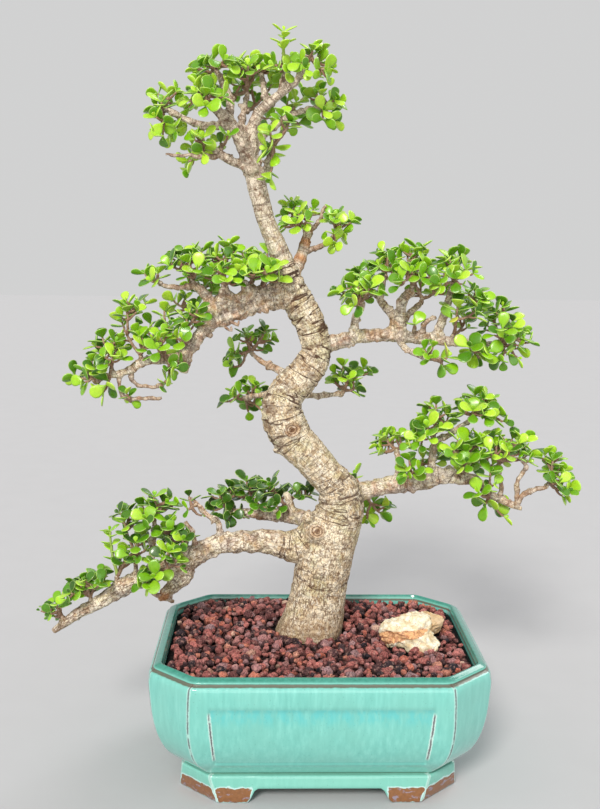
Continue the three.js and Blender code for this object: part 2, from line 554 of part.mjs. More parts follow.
function shootShape(spray, shoot, face, middle, length, [moreTurn, moreLean]) {
  const back = face.middle.clone().sub(middle).setLength(0.4 * length);
  const tip = middle.clone().add(back);
  const lean = (half) => LEAN + moreLean + 0.3 * (draw(spray, shoot, half, 2) - 0.5);
  const size = (half) => length * (0.92 + 0.16 * draw(spray, shoot, half, 3));
  return {
    footRing: face.ring,
    foot: face.middle,
    tip,
    turn: draw(spray, shoot, 0, 1) * Math.PI + moreTurn,
    leans: [lean(0), lean(1)],
    lengths: [size(0), size(1)],
  };
}

function growSprays(woodGuard) {
  const sprays = Object.entries(SPRAYS).map(([name, [foot, shoots]], spray) => {
    const start = placed(...foot);
    const tips = shoots.map(([x, z, depth]) => (
      placed(x, z, foot[2] + DEPTH_SPREAD * (depth - foot[2]))));
    const centre = knobCentre(start, tips);
    const faces = knobFaces(centre);
    const guard = knobSolid(start, centre, faces, GAP);
    const solids = [knobSolid(start, centre, knobFaces(centre), 0)];
    return { name, spray, centre, faces, shoots, tips, solids, guard };
  });
  const standing = sprays.map(({ spray, guard }) => ({ spray, guard, box: guard.boundingBox() }));
  let left = 0;
  for (const { name, spray, centre, faces, shoots, tips, solids } of sprays) {
    shoots.forEach(([, , , , length], shoot) => {
      const face = freeFace(faces, centre, tips[shoot]);
      const found = TRIES.some((tried) => {
        const shape = shootShape(spray, shoot, face, tips[shoot], length, tried);
        const solid = shootSolid(shape);
        const box = solid.boundingBox();
        const inTheWay = standing.some((other) => other.spray !== spray
          && boxesMeet(other.box, box) && !other.guard.intersect(solid).isEmpty());
        if (inTheWay || !woodGuard.intersect(solid).isEmpty()) return false;
        solids.push(solid);
        standing.push({ spray, guard: shootSolid(shape, GAP), box });
        face.taken = true;
        return true;
      });
      if (!found) {
        left += 1;
        console.error("left out", name, shoot);
      }
    });
  }
  console.error("shoots standing", standing.length - sprays.length, "left out", left);
  return sprays.map(({ name, solids }) => {
    const whole = joined(solids).subtract(woodGuard);
    return { name, solid: largestBody(whole) };
  });
}

// The pot, from rings of eight corners: [height, half width, corner cut along X]

const POT_OUTSIDE = [
  [BASE_UNDERSIDE, 113, 22], [20, 118.5, 23], [26, 124.5, 25], [31, 129.5, 26],
  [44, 140.5, 28.5], [60, 148.2, 32], [80, 153, 35], [103, 155.6, 38], [113, 156.2, 39],
  [118.5, 155, 39], [119.5, 151.4, 38], [121.5, 151.4, 38], [122.5, 152.5, 38],
  [127.2, 152.5, 38], [RIM_TOP, 151.7, 38],
];
const POT_INSIDE = [
  [FLOOR_TOP, 104, 20], [34, 120, 23], [46, 130, 26], [60, 136.8, 29], [80, 141.4, 31],
  [112, 143.4, 33], [124, 143.4, 33], [124.8, 144.5, 33], [RIM_TOP + 1, 144.5, 33],
];
const PLINTH = [[0, 130, 37], [BASE_UNDERSIDE, 129, 31], [25, 128, 27], [26, 127, 27]];
const PLINTH_HOLLOW = [[-1, 106, 28], [BASE_UNDERSIDE + 1, 106, 28]];

function eightCorners(height, halfWidth, cut, inset) {
  const x = halfWidth - inset;
  const y = halfWidth - FRONT_TO_SIDE - inset;
  const cutY = cut * CUT_DEEPER;
  const plan = [
    [x, -y + cutY], [x, y - cutY], [x - cut, y], [-x + cut, y],
    [-x, y - cutY], [-x, -y + cutY], [-x + cut, -y], [x - cut, -y],
  ];
  return plan.map(([px, py]) => [px, py, height]);
}

function eightSided(profile, inset = 0) {
  return skin(profile.map(([height, half, cut]) => eightCorners(height, half, cut, inset)));
}

// A block whose front outline is four corners [across, height], between two depths

function blockAlongY(corners, nearY, farY) {
  const near = corners.map(([x, z]) => [x, nearY, z]);
  const far = corners.map(([x, z]) => [x, farY, z]);
  return skin([far, near]);
}

function blockAlongX(corners, nearX, farX) {
  const near = corners.map(([y, z]) => [nearX, y, z]);
  const far = corners.map(([y, z]) => [farX, y, z]);
  return skin([near, far]);
}

// corners run anticlockwise as seen along the block, wide at the bottom or the top

function fourCorners(halfBottom, halfTop, bottom, top) {
  return [[-halfBottom, bottom], [halfBottom, bottom], [halfTop, top], [-halfTop, top]];
}

const STONE_GAP = 1.5 * GAP;
const DRAIN_X = 68;
const DRAIN_RADIUS = 12;
const REACH = 200; // past the pot on every side

function uprightRound(radius, sides, x, y, bottom, top) {
  const ring = (height) => Array.from({ length: sides }, (_, side) => {
    const angle = (2 * Math.PI * side) / sides;
    return [x + radius * Math.cos(angle), y + radius * Math.sin(angle), height];
  });
  return skin([ring(bottom), ring(top)]);
}

function potSolid() {
  const frontGap = fourCorners(66, 57, -1, BASE_UNDERSIDE);
  const sideGap = fourCorners(45, 38, -1, BASE_UNDERSIDE);
  const feet = eightSided(PLINTH)
    .subtract(eightSided(PLINTH_HOLLOW))
    .subtract(blockAlongY(frontGap, -REACH, REACH))
    .subtract(blockAlongX(sideGap, -REACH, REACH));
  const body = eightSided(POT_OUTSIDE).add(feet);
  const core = eightSided(POT_OUTSIDE, PANEL_DEPTH);
  const frontPanel = fourCorners(95, 100, 43, 105);
  const sidePanel = fourCorners(60, 64, 43, 105);
  const panels = blockAlongY(frontPanel, -REACH, REACH)
    .add(blockAlongX(sidePanel, -REACH, REACH))
    .subtract(core);
  const drains = uprightRound(DRAIN_RADIUS, 16, DRAIN_X, 0, 0, FLOOR_TOP + 2)
    .add(uprightRound(DRAIN_RADIUS, 16, -DRAIN_X, 0, 0, FLOOR_TOP + 2));
  return body.subtract(panels).subtract(eightSided(POT_INSIDE)).subtract(drains);
}

// Plastic mesh squares over the drain holes, on the floor under the soil

const MESH_HALF = 21;
const MESH_THICKNESS = 1.2;
const MESH_CELLS = 3;
const MESH_BAR = 2.4;

function uprightBlock(left, right, front, back, bottom, top) {
  const ring = (height) => [
    [left, front, height], [right, front, height], [right, back, height], [left, back, height],
  ];
  return skin([ring(bottom), ring(top)]);
}

function meshCover(x) {
  const bottom = FLOOR_TOP + GAP;
  const top = bottom + MESH_THICKNESS;
  const half = MESH_HALF;
  const sheet = uprightBlock(x - half, x + half, -half, half, bottom, top);
  const pitch = (2 * half - MESH_BAR) / MESH_CELLS;
  const openings = [];
  for (let column = 0; column < MESH_CELLS; column += 1) {
    for (let row = 0; row < MESH_CELLS; row += 1) {
      const left = x - half + MESH_BAR + column * pitch;
      const front = -half + MESH_BAR + row * pitch;
      const size = pitch - MESH_BAR;
      openings.push(uprightBlock(left, left + size, front, front + size, bottom - 1, top + 1));
    }
  }
  return sheet.subtract(joined(openings));
}

function meshPocket(x) {
  const half = MESH_HALF + GAP;
  const top = FLOOR_TOP + MESH_THICKNESS + 2 * GAP;
  return uprightBlock(x - half, x + half, -half, half, FLOOR_TOP - 1, top);
}

// The soil fills the pot. Its top is gravel in relief: one pointed lump in each square,
// larger than life, heaped a little at the back left of the trunk.

const LUMP = 16;
const LUMP_COLUMNS = 19;
const LUMP_ROWS = 14;

function soilHeight(x, y) {
  const heap = 7 * Math.exp(-(((x + 42) / 55) ** 2) - (((y - 70) / 32) ** 2));
  return SOIL_LEVEL + heap;
}

function gravelSlab() {
  const points = [];
  const corner = (column, row) => row * (LUMP_COLUMNS + 1) + column;
  for (let row = 0; row <= LUMP_ROWS; row += 1) {
    for (let column = 0; column <= LUMP_COLUMNS; column += 1) {
      const x = (column - LUMP_COLUMNS / 2) * LUMP + (draw(row, column, 1, 1) - 0.5) * 5;
      const y = (row - LUMP_ROWS / 2) * LUMP + (draw(row, column, 1, 2) - 0.5) * 5;
      points.push([x, y, soilHeight(x, y) - 2.6 * draw(row, column, 1, 3)]);
    }
  }
  const peaks = points.length;
  const peak = (column, row) => peaks + row * LUMP_COLUMNS + column;
  for (let row = 0; row < LUMP_ROWS; row += 1) {
    for (let column = 0; column < LUMP_COLUMNS; column += 1) {
      const x = (column + 0.5 - LUMP_COLUMNS / 2) * LUMP + (draw(row, column, 2, 1) - 0.5) * 5;
      const y = (row + 0.5 - LUMP_ROWS / 2) * LUMP + (draw(row, column, 2, 2) - 0.5) * 5;
      points.push([x, y, soilHeight(x, y) + 2.2 + 3.2 * draw(row, column, 2, 3)]);
    }
  }
  const faces = [];
  for (let row = 0; row < LUMP_ROWS; row += 1) {
    for (let column = 0; column < LUMP_COLUMNS; column += 1) {
      const around = [corner(column, row), corner(column + 1, row),
        corner(column + 1, row + 1), corner(column, row + 1)];
      around.forEach((point, index) => {
        faces.push([point, around[(index + 1) % 4], peak(column, row)]);
      });
    }
  }
  const edge = [];
  for (let column = 0; column < LUMP_COLUMNS; column += 1) edge.push(corner(column, 0));
  for (let row = 0; row < LUMP_ROWS; row += 1) edge.push(corner(LUMP_COLUMNS, row));
  for (let column = LUMP_COLUMNS; column > 0; column -= 1) edge.push(corner(column, LUMP_ROWS));
  for (let row = LUMP_ROWS; row > 0; row -= 1) edge.push(corner(0, row));
  const under = points.length;
  edge.forEach((point) => points.push([points[point][0], points[point][1], 0]));
  const middle = points.length;
  points.push([0, 0, 0]);
  edge.forEach((point, index) => {
    const next = (index + 1) % edge.length;
    faces.push([point, under + index, under + next]);
    faces.push([point, under + next, edge[next]]);
    faces.push([middle, under + next, under + index]);
  });
  return solidFrom(points, faces);
}

function soilSolid(woodGuard, stoneGuard) {
  const filling = POT_INSIDE.filter(([height]) => height !== FLOOR_TOP && height <= 124.5);
  const top = filling[filling.length - 1];
  const bottom = POT_INSIDE[0];
  const fill = eightSided([[FLOOR_TOP + GAP, bottom[1], bottom[2]], ...filling,
    [RIM_TOP + 20, top[1], top[2]]], 1.6 * GAP);
  return fill.intersect(gravelSlab())
    .subtract(woodGuard)
    .subtract(stoneGuard)
    .subtract(meshPocket(DRAIN_X))
    .subtract(meshPocket(-DRAIN_X));
}

// The ornamental stone: a low rugged lump with a second lobe at its back right

function lump(centre, half, seed, extra) {
  const ball = mergeVertices(new THREE.IcosahedronGeometry(1, 2).deleteAttribute("normal")
    .deleteAttribute("uv"));
  const position = ball.attributes.position;
  for (let index = 0; index < position.count; index += 1) {
    const point = new THREE.Vector3().fromBufferAttribute(position, index);
    const rough = 0.84 + 0.3 * draw(seed, index, 3, 1);
    position.setXYZ(
      index,
      centre[0] + point.x * (half[0] * rough + extra),
      centre[1] + point.y * (half[1] * rough + extra),
      centre[2] + point.z * (half[2] * rough + extra),
    );
  }
  return solidOf(ball);
}

function stoneSolid(extra = 0) {
  return lump([88, -20, 134], [30, 20, 17], 5, extra)
    .add(lump([111, -4, 137], [16, 14, 13], 9, extra));
}

// The finished pieces

const MATERIALS = {
  bark: { color: 0xb9a285, roughness: 0.86, metalness: 0 },
  leaf: { color: 0x6fae3c, roughness: 0.38, metalness: 0 },
  glaze: { color: 0x7cc9bb, roughness: 0.18, metalness: 0 },
  gravel: { color: 0x7a463c, roughness: 0.95, metalness: 0 },
  rock: { color: 0xe0cdb0, roughness: 0.85, metalness: 0 },
  mesh: { color: 0x24282a, roughness: 0.6, metalness: 0 },
};

function geometryOf(solid) {
  const { vertProperties, triVerts } = solid.getMesh();
  const geometry = new THREE.BufferGeometry();
  geometry.setAttribute("position", new THREE.BufferAttribute(new Float32Array(vertProperties), 3));
  geometry.setIndex(new THREE.BufferAttribute(new Uint32Array(triVerts), 1));
  return geometry;
}

function piece(name, solid, look) {
  const material = new THREE.MeshStandardMaterial(MATERIALS[look]);
  const part = new THREE.Mesh(geometryOf(solid), material);
  part.name = name;
  return part;
}

const tree = new THREE.Group();
tree.name = "dwarf_jade_bonsai";

const woodGuard = wood(GAP);
tree.add(piece("trunk", largestBody(wood(0)), "bark"));
for (const spray of growSprays(woodGuard)) {
  tree.add(piece(`spray_${spray.name}`, spray.solid, "leaf"));
}
tree.add(piece("pot", potSolid(), "glaze"));
tree.add(piece("soil_gravel", largestBody(soilSolid(woodGuard, stoneSolid(STONE_GAP))), "gravel"));
tree.add(piece("ornamental_stone", stoneSolid(), "rock"));
tree.add(piece("drain_mesh_left", meshCover(-DRAIN_X), "mesh"));
tree.add(piece("drain_mesh_right", meshCover(DRAIN_X), "mesh"));

// The origin is under the middle of the whole object, on the table

const whole = new THREE.Box3().setFromObject(tree);
const middle = whole.getCenter(new THREE.Vector3());
for (const part of tree.children) {
  const moved = part.geometry.translate(-middle.x, -middle.y, -whole.min.z);
  part.geometry = geometryOf(largestBody(solidOf(moved)));
  part.geometry.computeVertexNormals();
}

export default tree;
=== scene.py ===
# %% [markdown]
# # A dwarf jade bonsai in its pot
#
# Dwarf jade is a small succulent tree with thick wrinkled wood and round fleshy leaves
# in opposite pairs. This old one has been trained into tiers of foliage over a bent
# trunk. It stands in an eight-sided glazed pot topped with lava rock. We rebuild it
# piece by piece: wood, twigs, leaves, pot, gravel and stone.
#
# A dense plant could be modelled leaf by leaf by hand, scattered with particles, or
# grown by a rule from a few measured shoots. We choose the rule: the shoots that give
# the tree its outline are listed, and everything on them follows from how the plant
# really grows.

import json
import math

import bmesh
import bpy
import numpy as np
from mathutils import Matrix, Vector, noise
from mathutils.geometry import delaunay_2d_cdt

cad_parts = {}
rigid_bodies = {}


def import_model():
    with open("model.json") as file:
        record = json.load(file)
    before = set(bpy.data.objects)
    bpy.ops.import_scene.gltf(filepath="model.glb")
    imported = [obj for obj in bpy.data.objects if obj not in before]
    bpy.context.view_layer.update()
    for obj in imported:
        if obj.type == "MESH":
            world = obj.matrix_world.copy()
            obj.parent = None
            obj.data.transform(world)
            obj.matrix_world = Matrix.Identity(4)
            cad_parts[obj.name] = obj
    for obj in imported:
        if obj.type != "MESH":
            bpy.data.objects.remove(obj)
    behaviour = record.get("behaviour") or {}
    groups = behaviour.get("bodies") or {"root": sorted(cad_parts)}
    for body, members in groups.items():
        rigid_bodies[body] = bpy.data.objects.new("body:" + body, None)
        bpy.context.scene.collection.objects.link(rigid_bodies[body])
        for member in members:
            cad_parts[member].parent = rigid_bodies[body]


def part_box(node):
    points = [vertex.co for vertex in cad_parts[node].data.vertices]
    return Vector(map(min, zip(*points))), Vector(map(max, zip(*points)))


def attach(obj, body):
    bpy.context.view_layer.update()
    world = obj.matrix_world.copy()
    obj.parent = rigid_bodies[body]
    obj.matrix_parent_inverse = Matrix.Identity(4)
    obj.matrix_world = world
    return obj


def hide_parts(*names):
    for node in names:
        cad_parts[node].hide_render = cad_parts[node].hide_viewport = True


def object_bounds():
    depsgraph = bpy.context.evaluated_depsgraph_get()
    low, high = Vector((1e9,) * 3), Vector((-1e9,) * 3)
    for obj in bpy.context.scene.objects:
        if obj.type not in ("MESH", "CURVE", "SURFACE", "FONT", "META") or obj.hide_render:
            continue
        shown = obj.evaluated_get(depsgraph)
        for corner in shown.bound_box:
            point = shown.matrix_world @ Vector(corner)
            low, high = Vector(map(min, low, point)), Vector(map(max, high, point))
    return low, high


noise.seed_set(1)  # or Blender would take its vector noise from the clock

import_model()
cad_low, cad_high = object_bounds()
print("CAD box, metres:", tuple(cad_low), tuple(cad_high))

# %% [markdown]
# ## Measures
#
# Lengths are listed in millimetres from the middle of the pot's underside, because that
# is easy to read on a real tree with a ruler. The tree was measured in the upright plane
# through its trunk. A point in front of or behind that plane slides along the line of
# sight, so that it still covers the same spot from where the tree was looked at. The
# other way is to guess all three coordinates at once, which drifts from what one sees.

# %% From the ruler to the scene
MM = 0.001
norm = np.linalg.norm
pot_low, pot_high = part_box("pot")
POT_MIDDLE = ((pot_low[0] + pot_high[0]) / 2, (pot_low[1] + pot_high[1]) / 2)
EYE = np.array([-45.0, -987.0, 505.0])
TRUNK_PLANE = 25.0


def placed(x, z, depth):
    """A point read at (x, z) in the trunk's plane, moved to its own depth."""
    reach = (depth - EYE[1]) / (TRUNK_PLANE - EYE[1])
    return np.array([EYE[0] + (x - EYE[0]) * reach, depth, EYE[2] + (z - EYE[2]) * reach])


def to_scene(points):
    """Millimetres over the pot's middle to metres in the scene."""
    shifted = np.asarray(points, float) * MM
    shifted[..., 0] += POT_MIDDLE[0]
    shifted[..., 1] += POT_MIDDLE[1]
    return shifted


def to_ruler(points):
    """Metres in the scene back to millimetres over the pot's middle."""
    return np.asarray(points, float) / MM - [POT_MIDDLE[0] / MM, POT_MIDDLE[1] / MM, 0]


def draw(first, second, third, which):
    """A random draw between 0 and 1 that is the same each time for these four numbers."""
    wave = math.sin(first * 12.9898 + second * 78.233 + third * 37.719 + which * 4.581)
    large = wave * 43758.5453
    return large - math.floor(large)


def unit(vector):
    return vector / norm(vector)


print("pot middle, metres:", POT_MIDDLE)

# %% [markdown]
# Every piece here is computed as a list of points and faces. Blender's own shapes and
# modifiers would do for a few pieces, yet a list can also carry values for the finish,
# such as how deep a point lies in a crease. These helpers turn such lists into pieces.

# %% Meshes from points and faces
def mesh_piece(name, points, faces, material, attributes=None, smooth=True):
    """A mesh object from points in millimetres, with named values for the shaders."""
    mesh = bpy.data.meshes.new(name)
    mesh.from_pydata(to_scene(points).tolist(), [], [list(face) for face in faces])
    mesh.update()
    for key, values in (attributes or {}).items():
        values = np.asarray(values, np.float32)
        kind, field = ("FLOAT", "value") if values.ndim == 1 else ("FLOAT_VECTOR", "vector")
        layer = mesh.attributes.new(key, kind, "POINT")
        layer.data.foreach_set(field, values.ravel())
    mesh.polygons.foreach_set("use_smooth", [smooth] * len(mesh.polygons))
    if material:
        mesh.materials.append(material)
    piece = bpy.data.objects.new(name, mesh)
    bpy.context.scene.collection.objects.link(piece)
    return piece


def declare(piece, slot, *nodes):
    """Every piece rides on the one body and stands for the nodes of the frame."""
    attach(piece, "root")
    if nodes:
        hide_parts(*nodes)


def run_along(points):
    """How far along a line each of its points lies."""
    steps = norm(np.diff(points, axis=0), axis=1)
    return np.concatenate([[0], np.cumsum(steps)])


def tube(middles, radii, sides):
    """Points and faces of a round closed tube through the middles."""
    middles = np.asarray(middles, float)
    along = np.gradient(middles, axis=0)
    along /= norm(along, axis=1)[:, None]
    side = np.cross([0.0, 1.0, 0.0], along[0])
    if norm(side) < 0.1:
        side = np.cross([1.0, 0.0, 0.0], along[0])
    angles = np.arange(sides) * 2 * math.pi / sides
    rings = []
    for middle, way, radius in zip(middles, along, radii):
        side = unit(side - way * side.dot(way))
        other = np.cross(way, side)
        turn = np.cos(angles)[:, None] * side + np.sin(angles)[:, None] * other
        rings.append(middle + radius * turn)
    count = len(middles)
    points = np.vstack([*rings, middles[0], middles[-1]])
    faces = []
    for ring in range(count - 1):
        low = ring * sides
        for corner in range(sides):
            after = (corner + 1) % sides
            faces.append((low + corner, low + after, low + sides + after, low + sides + corner))
    last = (count - 1) * sides
    for corner in range(sides):
        after = (corner + 1) % sides
        faces.append((count * sides, after, corner))
        faces.append((count * sides + 1, last + corner, last + after))
    return points, faces


def tube_grain(middles, radii, sides):
    """For each point of a tube its place across the grain, twice, and along it."""
    run = run_along(middles)
    angles = np.arange(sides) * 2 * math.pi / sides
    rings = [np.column_stack([radius * np.cos(angles), radius * np.sin(angles),
                              np.full(sides, way)]) for radius, way in zip(radii, run)]
    return np.vstack([*rings, [0, 0, run[0]], [0, 0, run[-1]]])


def stacked(parts):
    """One list of points and faces out of several."""
    points, faces, first = [], [], 0
    for part_points, part_faces in parts:
        points.append(part_points)
        faces.extend(tuple(first + corner for corner in face) for face in part_faces)
        first += len(part_points)
    return np.vstack(points), faces


print("helpers ready")

# %% [markdown]
# ## Wood
#
# Trunk, limbs and thick twigs are one grown body, so they should flow into each other
# without seams. Skinning a skeleton of edges gives flowing joints but lumpy limbs, and
# plain tubes give true limbs but hard joints. We take tubes, fuse them by remeshing
# into small cells and then smooth the joints.

# %% Trunk and limbs: x, z, depth, radius
TRUNK = [
    [2, 92, 26, 27.6], [2.2, 118, 26, 27.4], [2.6, 140, 26, 27.2], [3.2, 156, 25.5, 27],
    [3.8, 169, 25, 27], [5, 180, 24, 27.6], [9, 197, 23, 27],
    [14, 215, 22, 26], [20, 235, 21, 25], [23, 249, 20, 22.8], [19, 268, 18, 19.8],
    [9, 279, 17, 17.5], [-7, 298, 15, 18], [-25, 317, 14, 19.5], [-34, 334, 14, 21],
    [-36, 350, 15, 19.5], [-28, 366, 16, 17.5], [-13, 383, 18, 16.8], [-4, 398, 19, 15],
    [-4, 411, 20, 14.2], [-10, 430, 21, 15], [-21.5, 450, 22, 15.6], [-34, 479, 21, 12],
    [-42, 502, 19, 9.6], [-52, 525, 17, 8.6], [-59, 550, 15, 9], [-63, 566, 13, 9.3],
    [-68, 580, 12, 8.2],
]

LIMBS = [
    # lower left limb with its cut stub and twigs
    [[-4, 218, 22, 15], [-22, 208, 20, 16], [-38, 210, 18, 13], [-60, 212, 15, 11.2],
        [-90, 211, 11, 10.2], [-106, 206, 9, 10.6], [-122, 198, 6, 11], [-136, 188, 4, 10.4],
        [-160, 180, 0, 9.2], [-185, 169, -4, 9], [-201, 160, -6, 8.4], [-220, 147, -10, 6.6],
        [-236, 139, -13, 5.8], [-251, 128, -15, 4.4], [-264, 118, -16, 2.8]],
    [[-128, 184, 4, 7], [-132, 176, 2, 8.2], [-144, 165, 0, 6.8], [-153, 156, -2, 4.6],
        [-157, 151, -3, 2.6]],
    [[-151, 158, -3, 2], [-159, 156, -6, 1.8], [-164, 158, -9, 1.5]],
    [[-147, 157, 2, 2.2], [-147, 151, 3, 1.8], [-143, 150, 1, 1.5]],
    [[-166, 180, 0, 4], [-165, 192, 0, 3.4], [-161, 229, 2, 2.8]],
    [[-139, 184, 4, 3], [-140, 199, 2, 2.2]],
    [[-97, 211, 10, 3.4], [-99, 233, 8, 2.8], [-108, 238, 8, 2.6], [-119, 250, 9, 2.2],
        [-126, 257, 10, 1.6]],
    [[-119, 202, 6, 3], [-124, 222, 2, 2.2], [-131, 232, 0, 1.6]],
    # branch behind, low on the left
    [[-2, 232, 30, 9], [-22, 238, 50, 7.6], [-45, 240, 63, 6.4], [-70, 241, 73, 5],
        [-92, 243, 78, 3.4]],
    [[-22, 238, 48, 4.4], [-32, 262, 44, 3.6]],
    # lower right limb
    [[20, 262, 26, 13], [40, 263, 30, 9.6], [60, 268, 28, 8.8], [82, 272, 25, 8.4],
        [100, 272, 21, 7.6], [115, 276, 18, 7.2], [126, 280, 16, 8], [141, 277, 14, 6],
        [156, 275, 12, 5.4], [172, 261, 8, 4.1], [187, 253, 4, 3.4], [204, 246, 0, 2.4]],
    [[80, 272, 25, 4], [79, 288, 27, 3.2], [78, 305, 31, 2.6]],
    [[112, 276, 18, 5], [112, 292, 18, 4], [116, 314, 18, 3.6], [129, 321, 16, 3],
        [150, 337, 14, 2.4]],
    [[180, 257, 6, 2.6], [182, 268, 5, 2.2], [177, 290, 6, 1.9]],
    [[199, 248, 1, 2.4], [198, 274, 1, 2], [206, 289, 2, 1.9], [200, 297, 2, 1.7]],
    [[196, 250, 2, 2.8], [210, 264, 0, 2.4], [227, 269, -2, 2]],
    # upper right limb
    [[-4, 408, 20, 9], [16, 411, 24, 7.6], [33, 416, 23, 7], [50, 418, 20, 6.6],
        [68, 419, 18, 6.5], [84, 417, 16, 6], [100, 416, 14, 6], [113, 415, 12, 5.6],
        [125, 413, 10, 4.8], [155, 411, 6, 3.2], [173, 411, 4, 2.6]],
    [[33, 416, 20, 4.6], [34, 434, 14, 4], [39, 443, 10, 3.6], [41, 450, 8, 3]],
    [[69, 420, 18, 5], [72, 434, 19, 4.6], [64, 444, 21, 4.2], [57, 454, 23, 3.8],
        [60, 465, 24, 3.2], [60, 476, 24, 2.6]],
    [[76, 420, 17, 5.8], [77, 437, 17, 5.6], [80, 453, 16, 5], [89, 462, 16, 4]],
    [[78, 424, 20, 4], [84, 437, 30, 3.6], [97, 450, 40, 3]],
    [[113, 415, 12, 5.2], [117, 431, 9, 4.6], [122, 443, 7, 4.2], [124, 455, 5, 3.6],
        [127, 467, 4, 3]],
    [[99, 418, 14, 3], [101, 431, 8, 2.4], [112, 436, 4, 1.8]],
    [[76, 418, 14, 4], [80, 409, 6, 3.4], [88, 403, 0, 2.9], [104, 396, -5, 2.2],
        [124, 395, -9, 1.4]],
    # upper left limb with its forks, the cut stub and the long side branch
    [[-24, 457, 21, 14], [-40, 455, 20, 13], [-54, 451, 17, 11], [-70, 444, 14, 9.2],
        [-85, 438, 10, 8.6], [-100, 431, 6, 8]],
    [[-98, 434, 6, 6.6], [-105, 448, 4, 5.2], [-113, 459, 2, 4.6], [-122, 466, 0, 3.6]],
    [[-96, 434, 7, 7.4], [-109, 425, 3, 6.4], [-118, 414, 0, 5.6], [-124, 404, -1, 5.2],
        [-128, 396, -2, 5], [-132, 380, -3, 4.6]],
    [[-110, 424, 3, 3], [-105, 416, -4, 2.4]],
    [[-123, 405, -1, 5], [-138, 395, -5, 4.8], [-160, 393, -11, 4.4], [-173, 390, -13, 4],
        [-184, 382, -15, 3.6], [-203, 377, -17, 3.1], [-220, 371, -18, 2.5]],
    [[-181, 383, -15, 2.4], [-182, 373, -14, 1.9], [-173, 367, -12, 1.7],
        [-153, 367, -10, 1.5]],
    [[-196, 378, -16, 2.4], [-192, 364, -20, 2], [-187, 355, -22, 1.8],
        [-153, 356, -18, 1.6]],
    [[-120, 465, 0, 3], [-136, 462, -2, 2.4], [-154, 466, -2, 1.9]],
    [[-76, 444, 12, 4], [-72, 456, 6, 2.8], [-75, 468, 2, 1.9]],
    [[-92, 436, 8, 4.4], [-96, 450, 2, 3.4], [-93, 462, 0, 2.6]],
    [[-88, 442, 10, 5.6], [-92, 453, 12, 4.8], [-94, 463, 13, 4]],
    [[-66, 450, 14, 6], [-67, 460, 14, 5], [-69, 469, 14, 4.2]],
    # torn stub on the shoulder
    [[-26, 478, 24, 7], [-19, 492, 29, 5.4], [-14, 510, 32, 4.6], [-10, 523, 33, 3.4]],
    [[-11, 518, 33, 2.4], [-4, 524, 30, 1.9], [4, 541, 28, 1.4]],
    [[-16, 498, 30, 3], [2, 504, 30, 2.2], [19, 521, 32, 1.6]],
    # twigs of the cluster behind the trunk
    [[-24, 374, 28, 5], [-42, 385, 48, 3.8], [-56, 392, 60, 3], [-66, 400, 66, 2.2]],
    [[-34, 362, 26, 5], [-52, 360, 50, 3.4], [-75, 356, 64, 2.2]],
    [[-24, 362, 28, 5], [-4, 359, 50, 3.2], [24, 361, 60, 2.2]],
    # crown
    [[-63, 568, 13, 7], [-74, 577, 9, 4.6], [-87, 582, 5, 4], [-97, 588, 2, 3.6],
        [-106, 597, 0, 2.8]],
    [[-96, 586, 2, 2.6], [-120, 585, -6, 1.9], [-147, 587, -12, 1.4]],
    [[-66, 576, 12, 8], [-73, 592, 9, 7], [-81, 608, 5, 6.2], [-91, 620, 2, 5],
        [-106, 633, -2, 3.4]],
    [[-86, 613, 3, 4.4], [-103, 613, -2, 3.8], [-117, 615, -7, 3.4], [-133, 621, -10, 3],
        [-145, 628, -12, 2.4]],
    [[-88, 616, 3, 4.4], [-87, 638, 6, 3.8], [-94, 652, 8, 3.2], [-99, 663, 9, 2.4]],
    [[-78, 604, 8, 4], [-74, 628, 22, 2.8], [-70, 642, 30, 2]],
    [[-66, 578, 12, 8], [-67, 604, 12, 6.2], [-61, 624, 12, 5.2], [-51, 634, 11, 4.6],
        [-40, 643, 10, 4], [-27, 653, 8, 3.2], [-20, 664, 6, 2.6], [-15, 678, 5, 1.9]],
    [[-51, 634, 11, 3.6], [-56, 650, 20, 2.8], [-57, 668, 26, 2]],
    [[-40, 643, 10, 3.4], [-36, 660, 8, 2.8], [-34, 673, 7, 2.4]],
    [[-66, 590, 13, 6], [-56, 605, 20, 4.2], [-40, 618, 26, 3.6], [-25, 626, 30, 3],
        [-6, 631, 32, 2.2]],
    [[-59, 560, 14, 5], [-51, 578, 4, 3.8], [-46, 597, -6, 3.2], [-34, 612, -12, 2.4]],
]

ROOTLETS = [
    [[-79, 441, 8, 2.1], [-82, 434, 6, 1.7], [-87, 431, 5, 1.4], [-83, 428, 5, 1.2],
     [-78.5, 427, 6, 1.1], [-78, 431, 7, 0.9]],
    [[-89, 437, 5, 1.9], [-93, 429, 4, 1.4], [-89, 423.5, 4, 1.1], [-85, 422, 5, 1.0],
     [-86, 425.5, 6, 0.9]],
]
print(len(LIMBS), "limbs and twigs on the trunk,", len(ROOTLETS), "rootlets")

# %% [markdown]
# The listed points are joined by a smooth curve through all of them. A spline that only
# comes near its points would be simpler, yet it would round off the sharp bends that
# give an old tree its character.

# %% Smooth curves through the listed points
STEP = 2.5  # millimetres between two points of a curve


def through(values, step=STEP):
    """Points every step millimetres on a smooth curve through the listed values."""
    values = np.asarray(values, float)
    ends = np.vstack([2 * values[0] - values[1], values, 2 * values[-1] - values[-2]])
    curve = []
    for index in range(1, len(ends) - 2):
        before, start, end, after = ends[index - 1:index + 3]
        count = max(2, int(norm((end - start)[:3]) / step))
        for share in np.arange(count) / count:
            curve.append(0.5 * (2 * start + (end - before) * share
                         + (2 * before - 5 * start + 4 * end - after) * share ** 2
                         + (3 * start - before - 3 * end + after) * share ** 3))
    curve.append(values[-1])
    return np.array(curve)


def wood_curve(chain):
    listed = [[*placed(x, z, depth), radius] for x, z, depth, radius in chain]
    return through(listed)


